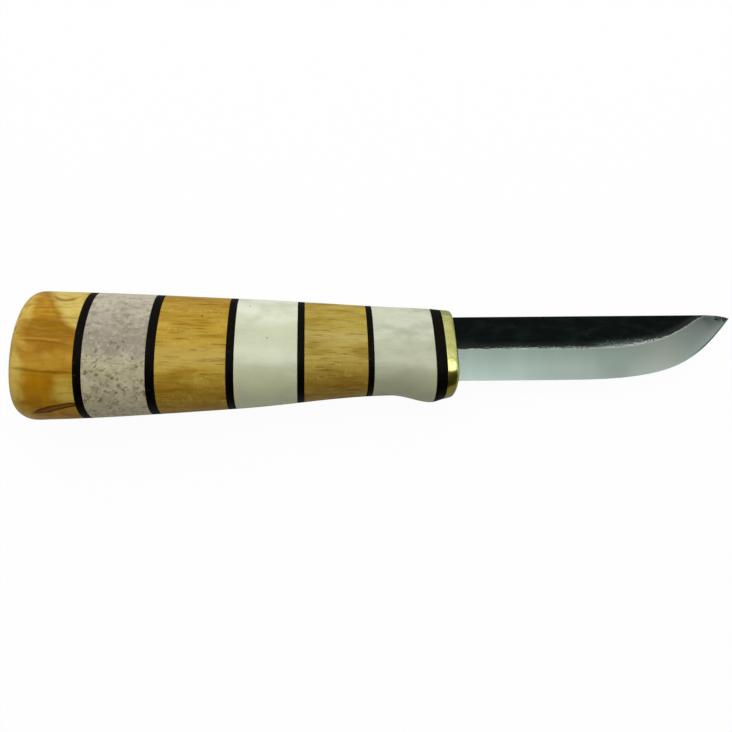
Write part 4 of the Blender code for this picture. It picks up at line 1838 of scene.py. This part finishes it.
    def refine(self, knots: np.ndarray, line: np.ndarray) -> np.ndarray:
        """Sets more points on a line, with the corner kept where the bevel meets the spine.

        Args:
            knots: the distance of each point from the heel, measured along the cutting edge.
            line: the points.

        Returns:
            The finer line.
        """
        parts = []
        for part in (slice(0, self.meet + 1), slice(self.meet, len(knots))):
            first, last = knots[part][[0, -1]]
            places = np.linspace(first, last, math.ceil((last - first) / self.station) + 1)
            parts.append(smooth_curve(places, knots[part], line[part]))
        return np.concatenate([parts[0], parts[1][1:]])

    def strips(self) -> Iterator[np.ndarray]:
        """Makes the strips of the near face.

        Yields:
            The lines of a strip: the bevel, the flat with its forged hollows, and the chamfer of the spine.
        """
        shares = np.linspace(0, 1, self.bevel_rows)[:, None, None]
        bevel = self.edge + (self.ridge - self.edge) * shares
        reach = self.ridge[:, 2] / self.ridge[:, 2].max()
        # The hollow is deepest in the middle of the bevel
        curve = 4 * shares * (1 - shares)
        bevel[:, :, 2] -= self.hollow * reach ** 2 * curve[:, :, 0]
        yield bevel
        shares = np.linspace(0, 1, self.flat_rows)[:, None, None]
        reach = slice(0, self.flat_end + 1)
        flat = self.ridge[reach] + (self.shoulder[reach] - self.ridge[reach]) * shares
        hollow = hand_rise(flat.reshape(-1, 3), self.hammer_size, self.hammer_depth)
        hollow = hollow.reshape(flat.shape[:2])
        flat[:, :, 2] -= (hollow + self.hammer_depth) * np.sin(math.pi * shares[:, :, 0])
        yield flat
        yield np.stack([self.shoulder, self.top])

    def weave(self, solid: bmesh.types.BMesh, strip: np.ndarray) -> None:
        """Adds a strip of faces.

        Args:
            solid: the blade's mesh.
            strip: lines of points, the lines in rows.
        """
        rows = [[solid.verts.new(point) for point in line] for line in strip]
        for row, after in zip(rows, rows[1:]):
            for place in range(1, len(row)):
                solid.faces.new((row[place - 1], row[place], after[place], after[place - 1]))

    def add_tang(self, solid: bmesh.types.BMesh) -> None:
        """Adds the tang, from the heel to its blind end.

        Args:
            solid: the blade's mesh.
        """
        angles = np.linspace(-math.pi, math.pi, len(self.tang_root), endpoint=False)
        rings = [Outline.through(corners).ring(angles) for corners in (self.tang_root, self.tang_end)]
        rows = [[solid.verts.new(point) for point in ring] for ring in rings]
        for place in range(len(angles)):
            solid.faces.new((rows[0][place - 1], rows[0][place], rows[1][place], rows[1][place - 1]))
        solid.faces.new(rows[1])

    def close_heel(self, solid: bmesh.types.BMesh) -> None:
        """Fills the heel round the tang in the blade's mesh."""
        open_edges = [edge for edge in solid.edges if edge.is_boundary]
        bmesh.ops.triangle_fill(solid, edges=open_edges, use_beauty=True)


@dataclass(frozen=True)
class SoftLamp:
    """A soft lamp.

    Args:
        name: its name.
        toward: its direction from the knife.
        width: its width along the knife.
        height: its height.
        level: the share of full light that it gives to a surface that faces it.
        is_mirrored: whether polished surfaces show it.
    """

    name: str
    toward: Triple
    width: float
    height: float
    level: float
    is_mirrored: bool = True


@dataclass
class Studio:
    """The table, the lamps, the white surroundings and the camera.

    Args:
        table: the finish of the table.
        felt: the finish of the flag.
        table_side: how wide and deep the table is.
        table_parts: how many parts each side of its mesh has.
        white: the colour of the surroundings.
        fill: the light that comes from all round.
        lamp_distance: how far the lamps stand from the knife.
        lamps: the lamps.
        flag_width: how wide the dark flag over the side of the cutting edge is.
        flag_foot: where it stands on the table, as Y and Z.
        flag_top: where it ends over the knife, as Y and Z.
        flag_slant: how fast its end draws towards the spine on the way to the tip.
        aim: the point of the knife that the camera looks at, in the knife's axes.
        distance: how far the camera is from it.
        lean: how far the camera leans towards the cutting edge.
        swing: how far it swings towards the butt.
        tilt: how far it is turned about its own view.
        lens: the camera's focal length in millimetres.
    """

    table: PaintedTable = PaintedTable()
    felt: GreyFelt = GreyFelt()
    table_side: float = 3.0
    table_parts: int = 8
    white: str = "#FFFFFF"
    fill: float = 0.36
    lamp_distance: float = 0.58
    lamps: tuple[SoftLamp, ...] = (
        SoftLamp("window_lamp", (0.05, 0.335, 0.94), 0.8, 0.28, 0.42),
        SoftLamp("spine_lamp", (-0.05, 0.85, 0.5), 0.7, 0.7, 0.47, is_mirrored=False),
    )
    flag_width: float = 2.4
    flag_foot: Span = (-0.6, 0.0)
    flag_top: Span = (0.02, 0.6)
    flag_slant: float = 0.15
    aim: Triple = (-23.094 * MM, -3.932 * MM, 1.315 * MM)
    distance: float = 178.416 * MM
    lean: float = math.radians(18.0)
    swing: float = math.radians(4.76)
    tilt: float = math.radians(-0.15)
    lens: float = 34.43

    @staticmethod
    def seen_rays(recipe: Recipe, seen: Feed = 1.0, mirrored: float = 1.0) -> Socket:
        """Tells rays that show a thing, directly, through glass or mirrored, from rays that light others.

        Args:
            recipe: the nodes to add to.
            seen: the result for a ray that shows a thing directly or through glass.
            mirrored: the result for a ray that shows it mirrored.

        Returns:
            The result for the ray, which is nought for a ray that lights others.
        """
        camera, glossy, clear = (
            recipe.add(Node.RAY, take=f"Is {kind} Ray") for kind in ("Camera", "Glossy", "Transmission")
        )
        direct = recipe.add(Node.MULTIPLY, recipe.add(Node.MAXIMUM, camera, clear), seen)
        return recipe.add(Node.MAXIMUM, direct, recipe.add(Node.MULTIPLY, glossy, mirrored))

    def build(self) -> None:
        """Makes the table, the surroundings and the lamps."""
        self.add_table()
        self.add_surroundings()
        self.add_flag()
        for lamp in self.lamps:
            self.add_lamp(lamp)

    def add_table(self) -> None:
        """Lays the table under the knife."""
        grid = bmesh.new()
        parts = self.table_parts
        bmesh.ops.create_grid(grid, x_segments=parts, y_segments=parts, size=self.table_side / 2)
        mesh = bpy.data.meshes.new("table")
        grid.to_mesh(mesh)
        grid.free()
        mesh.materials.append(self.table.material())
        table = bpy.data.objects.new("table", mesh)
        bpy.context.scene.collection.objects.link(table)
        table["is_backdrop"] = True

    def add_flag(self) -> None:
        """Leans a dark flag over the side of the cutting edge, which only polished surfaces show."""
        card = bmesh.new()
        foot, (top_y, top_z) = self.flag_foot, self.flag_top
        ends = (-self.flag_width / 2, self.flag_width / 2)
        corners = [(x, *foot) for x in ends] + [(x, top_y + self.flag_slant * x, top_z) for x in ends[::-1]]
        card.faces.new([card.verts.new(corner) for corner in corners])
        mesh = bpy.data.meshes.new("flag")
        card.to_mesh(mesh)
        card.free()
        mesh.materials.append(self.felt.material())
        flag = bpy.data.objects.new("flag", mesh)
        flag.visible_camera = False
        flag.visible_diffuse = False
        bpy.context.scene.collection.objects.link(flag)
        flag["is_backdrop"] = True

    def add_surroundings(self) -> None:
        """Makes the surroundings white to the eye, and dimmer as a light."""
        world = bpy.data.worlds.new("white_studio")
        bpy.context.scene.world = world
        recipe = Recipe(world)
        strength = recipe.add(Node.EASE, self.seen_rays(recipe), 0.0, 1.0, self.fill, 1.0)
        recipe.feed(recipe.tree.nodes["Background"], Color=linear(self.white), Strength=strength)

    def add_lamp(self, lamp: SoftLamp) -> None:
        """Hangs a soft lamp that faces the knife.

        Args:
            lamp: the lamp.
        """
        light = bpy.data.lights.new(lamp.name, "AREA")
        light.shape = "RECTANGLE"
        light.size, light.size_y = lamp.width, lamp.height
        # Its light spreads over pi times the distance squared, and a matt surface gives back one part in pi
        light.energy = lamp.level * math.pi ** 2 * self.lamp_distance ** 2
        hung = bpy.data.objects.new(lamp.name, light)
        hung.visible_camera = False
        hung.visible_glossy = lamp.is_mirrored
        bpy.context.scene.collection.objects.link(hung)
        direction = Vector(lamp.toward).normalized()
        hung.location = direction * self.lamp_distance
        hung.rotation_euler = direction.to_track_quat("Z", "Y").to_euler()

    def add_camera(self, axes: KnifeAxes) -> None:
        """Sets the camera where the photograph was taken from.

        Args:
            axes: the knife's axes.
        """
        data = bpy.data.cameras.new("camera")
        data.lens = self.lens
        data.clip_start = MM
        camera = bpy.data.objects.new("camera", data)
        bpy.context.scene.collection.objects.link(camera)
        turn = (
            Matrix.Rotation(self.tilt, 4, "Z")
            @ Matrix.Rotation(self.swing, 4, "Y")
            @ Matrix.Rotation(-self.lean, 4, "X")
        )
        back = Matrix.Translation((0.0, 0.0, self.distance))
        camera.matrix_world = axes.to_world @ Matrix.Translation(self.aim) @ turn.transposed() @ back
        bpy.context.scene.camera = camera


def main() -> None:
    """Builds the knife and the studio."""
    logging.basicConfig(level=logging.INFO, format="%(message)s")
    bpy.context.scene.view_settings.view_transform = "Standard"
    axes = KnifeAxes.from_mounts()
    handle = Handle()
    handle.build(axes)
    handle.dress()
    blade = Blade()
    made = blade.build(axes)
    LOG.info("%s: %d points of %s", made.name, len(made.data.vertices), blade.finish.name)
    studio = Studio()
    studio.build()
    studio.add_camera(axes)
    bpy.context.view_layer.update()
    sizes = {"cad": CAD_BOX, "visual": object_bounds()}
    {name: [list(corner) for corner in box] for name, box in sizes.items()}
    LOG.info("studio: lit, and the camera is set")


if __name__ == "__main__":
    main()
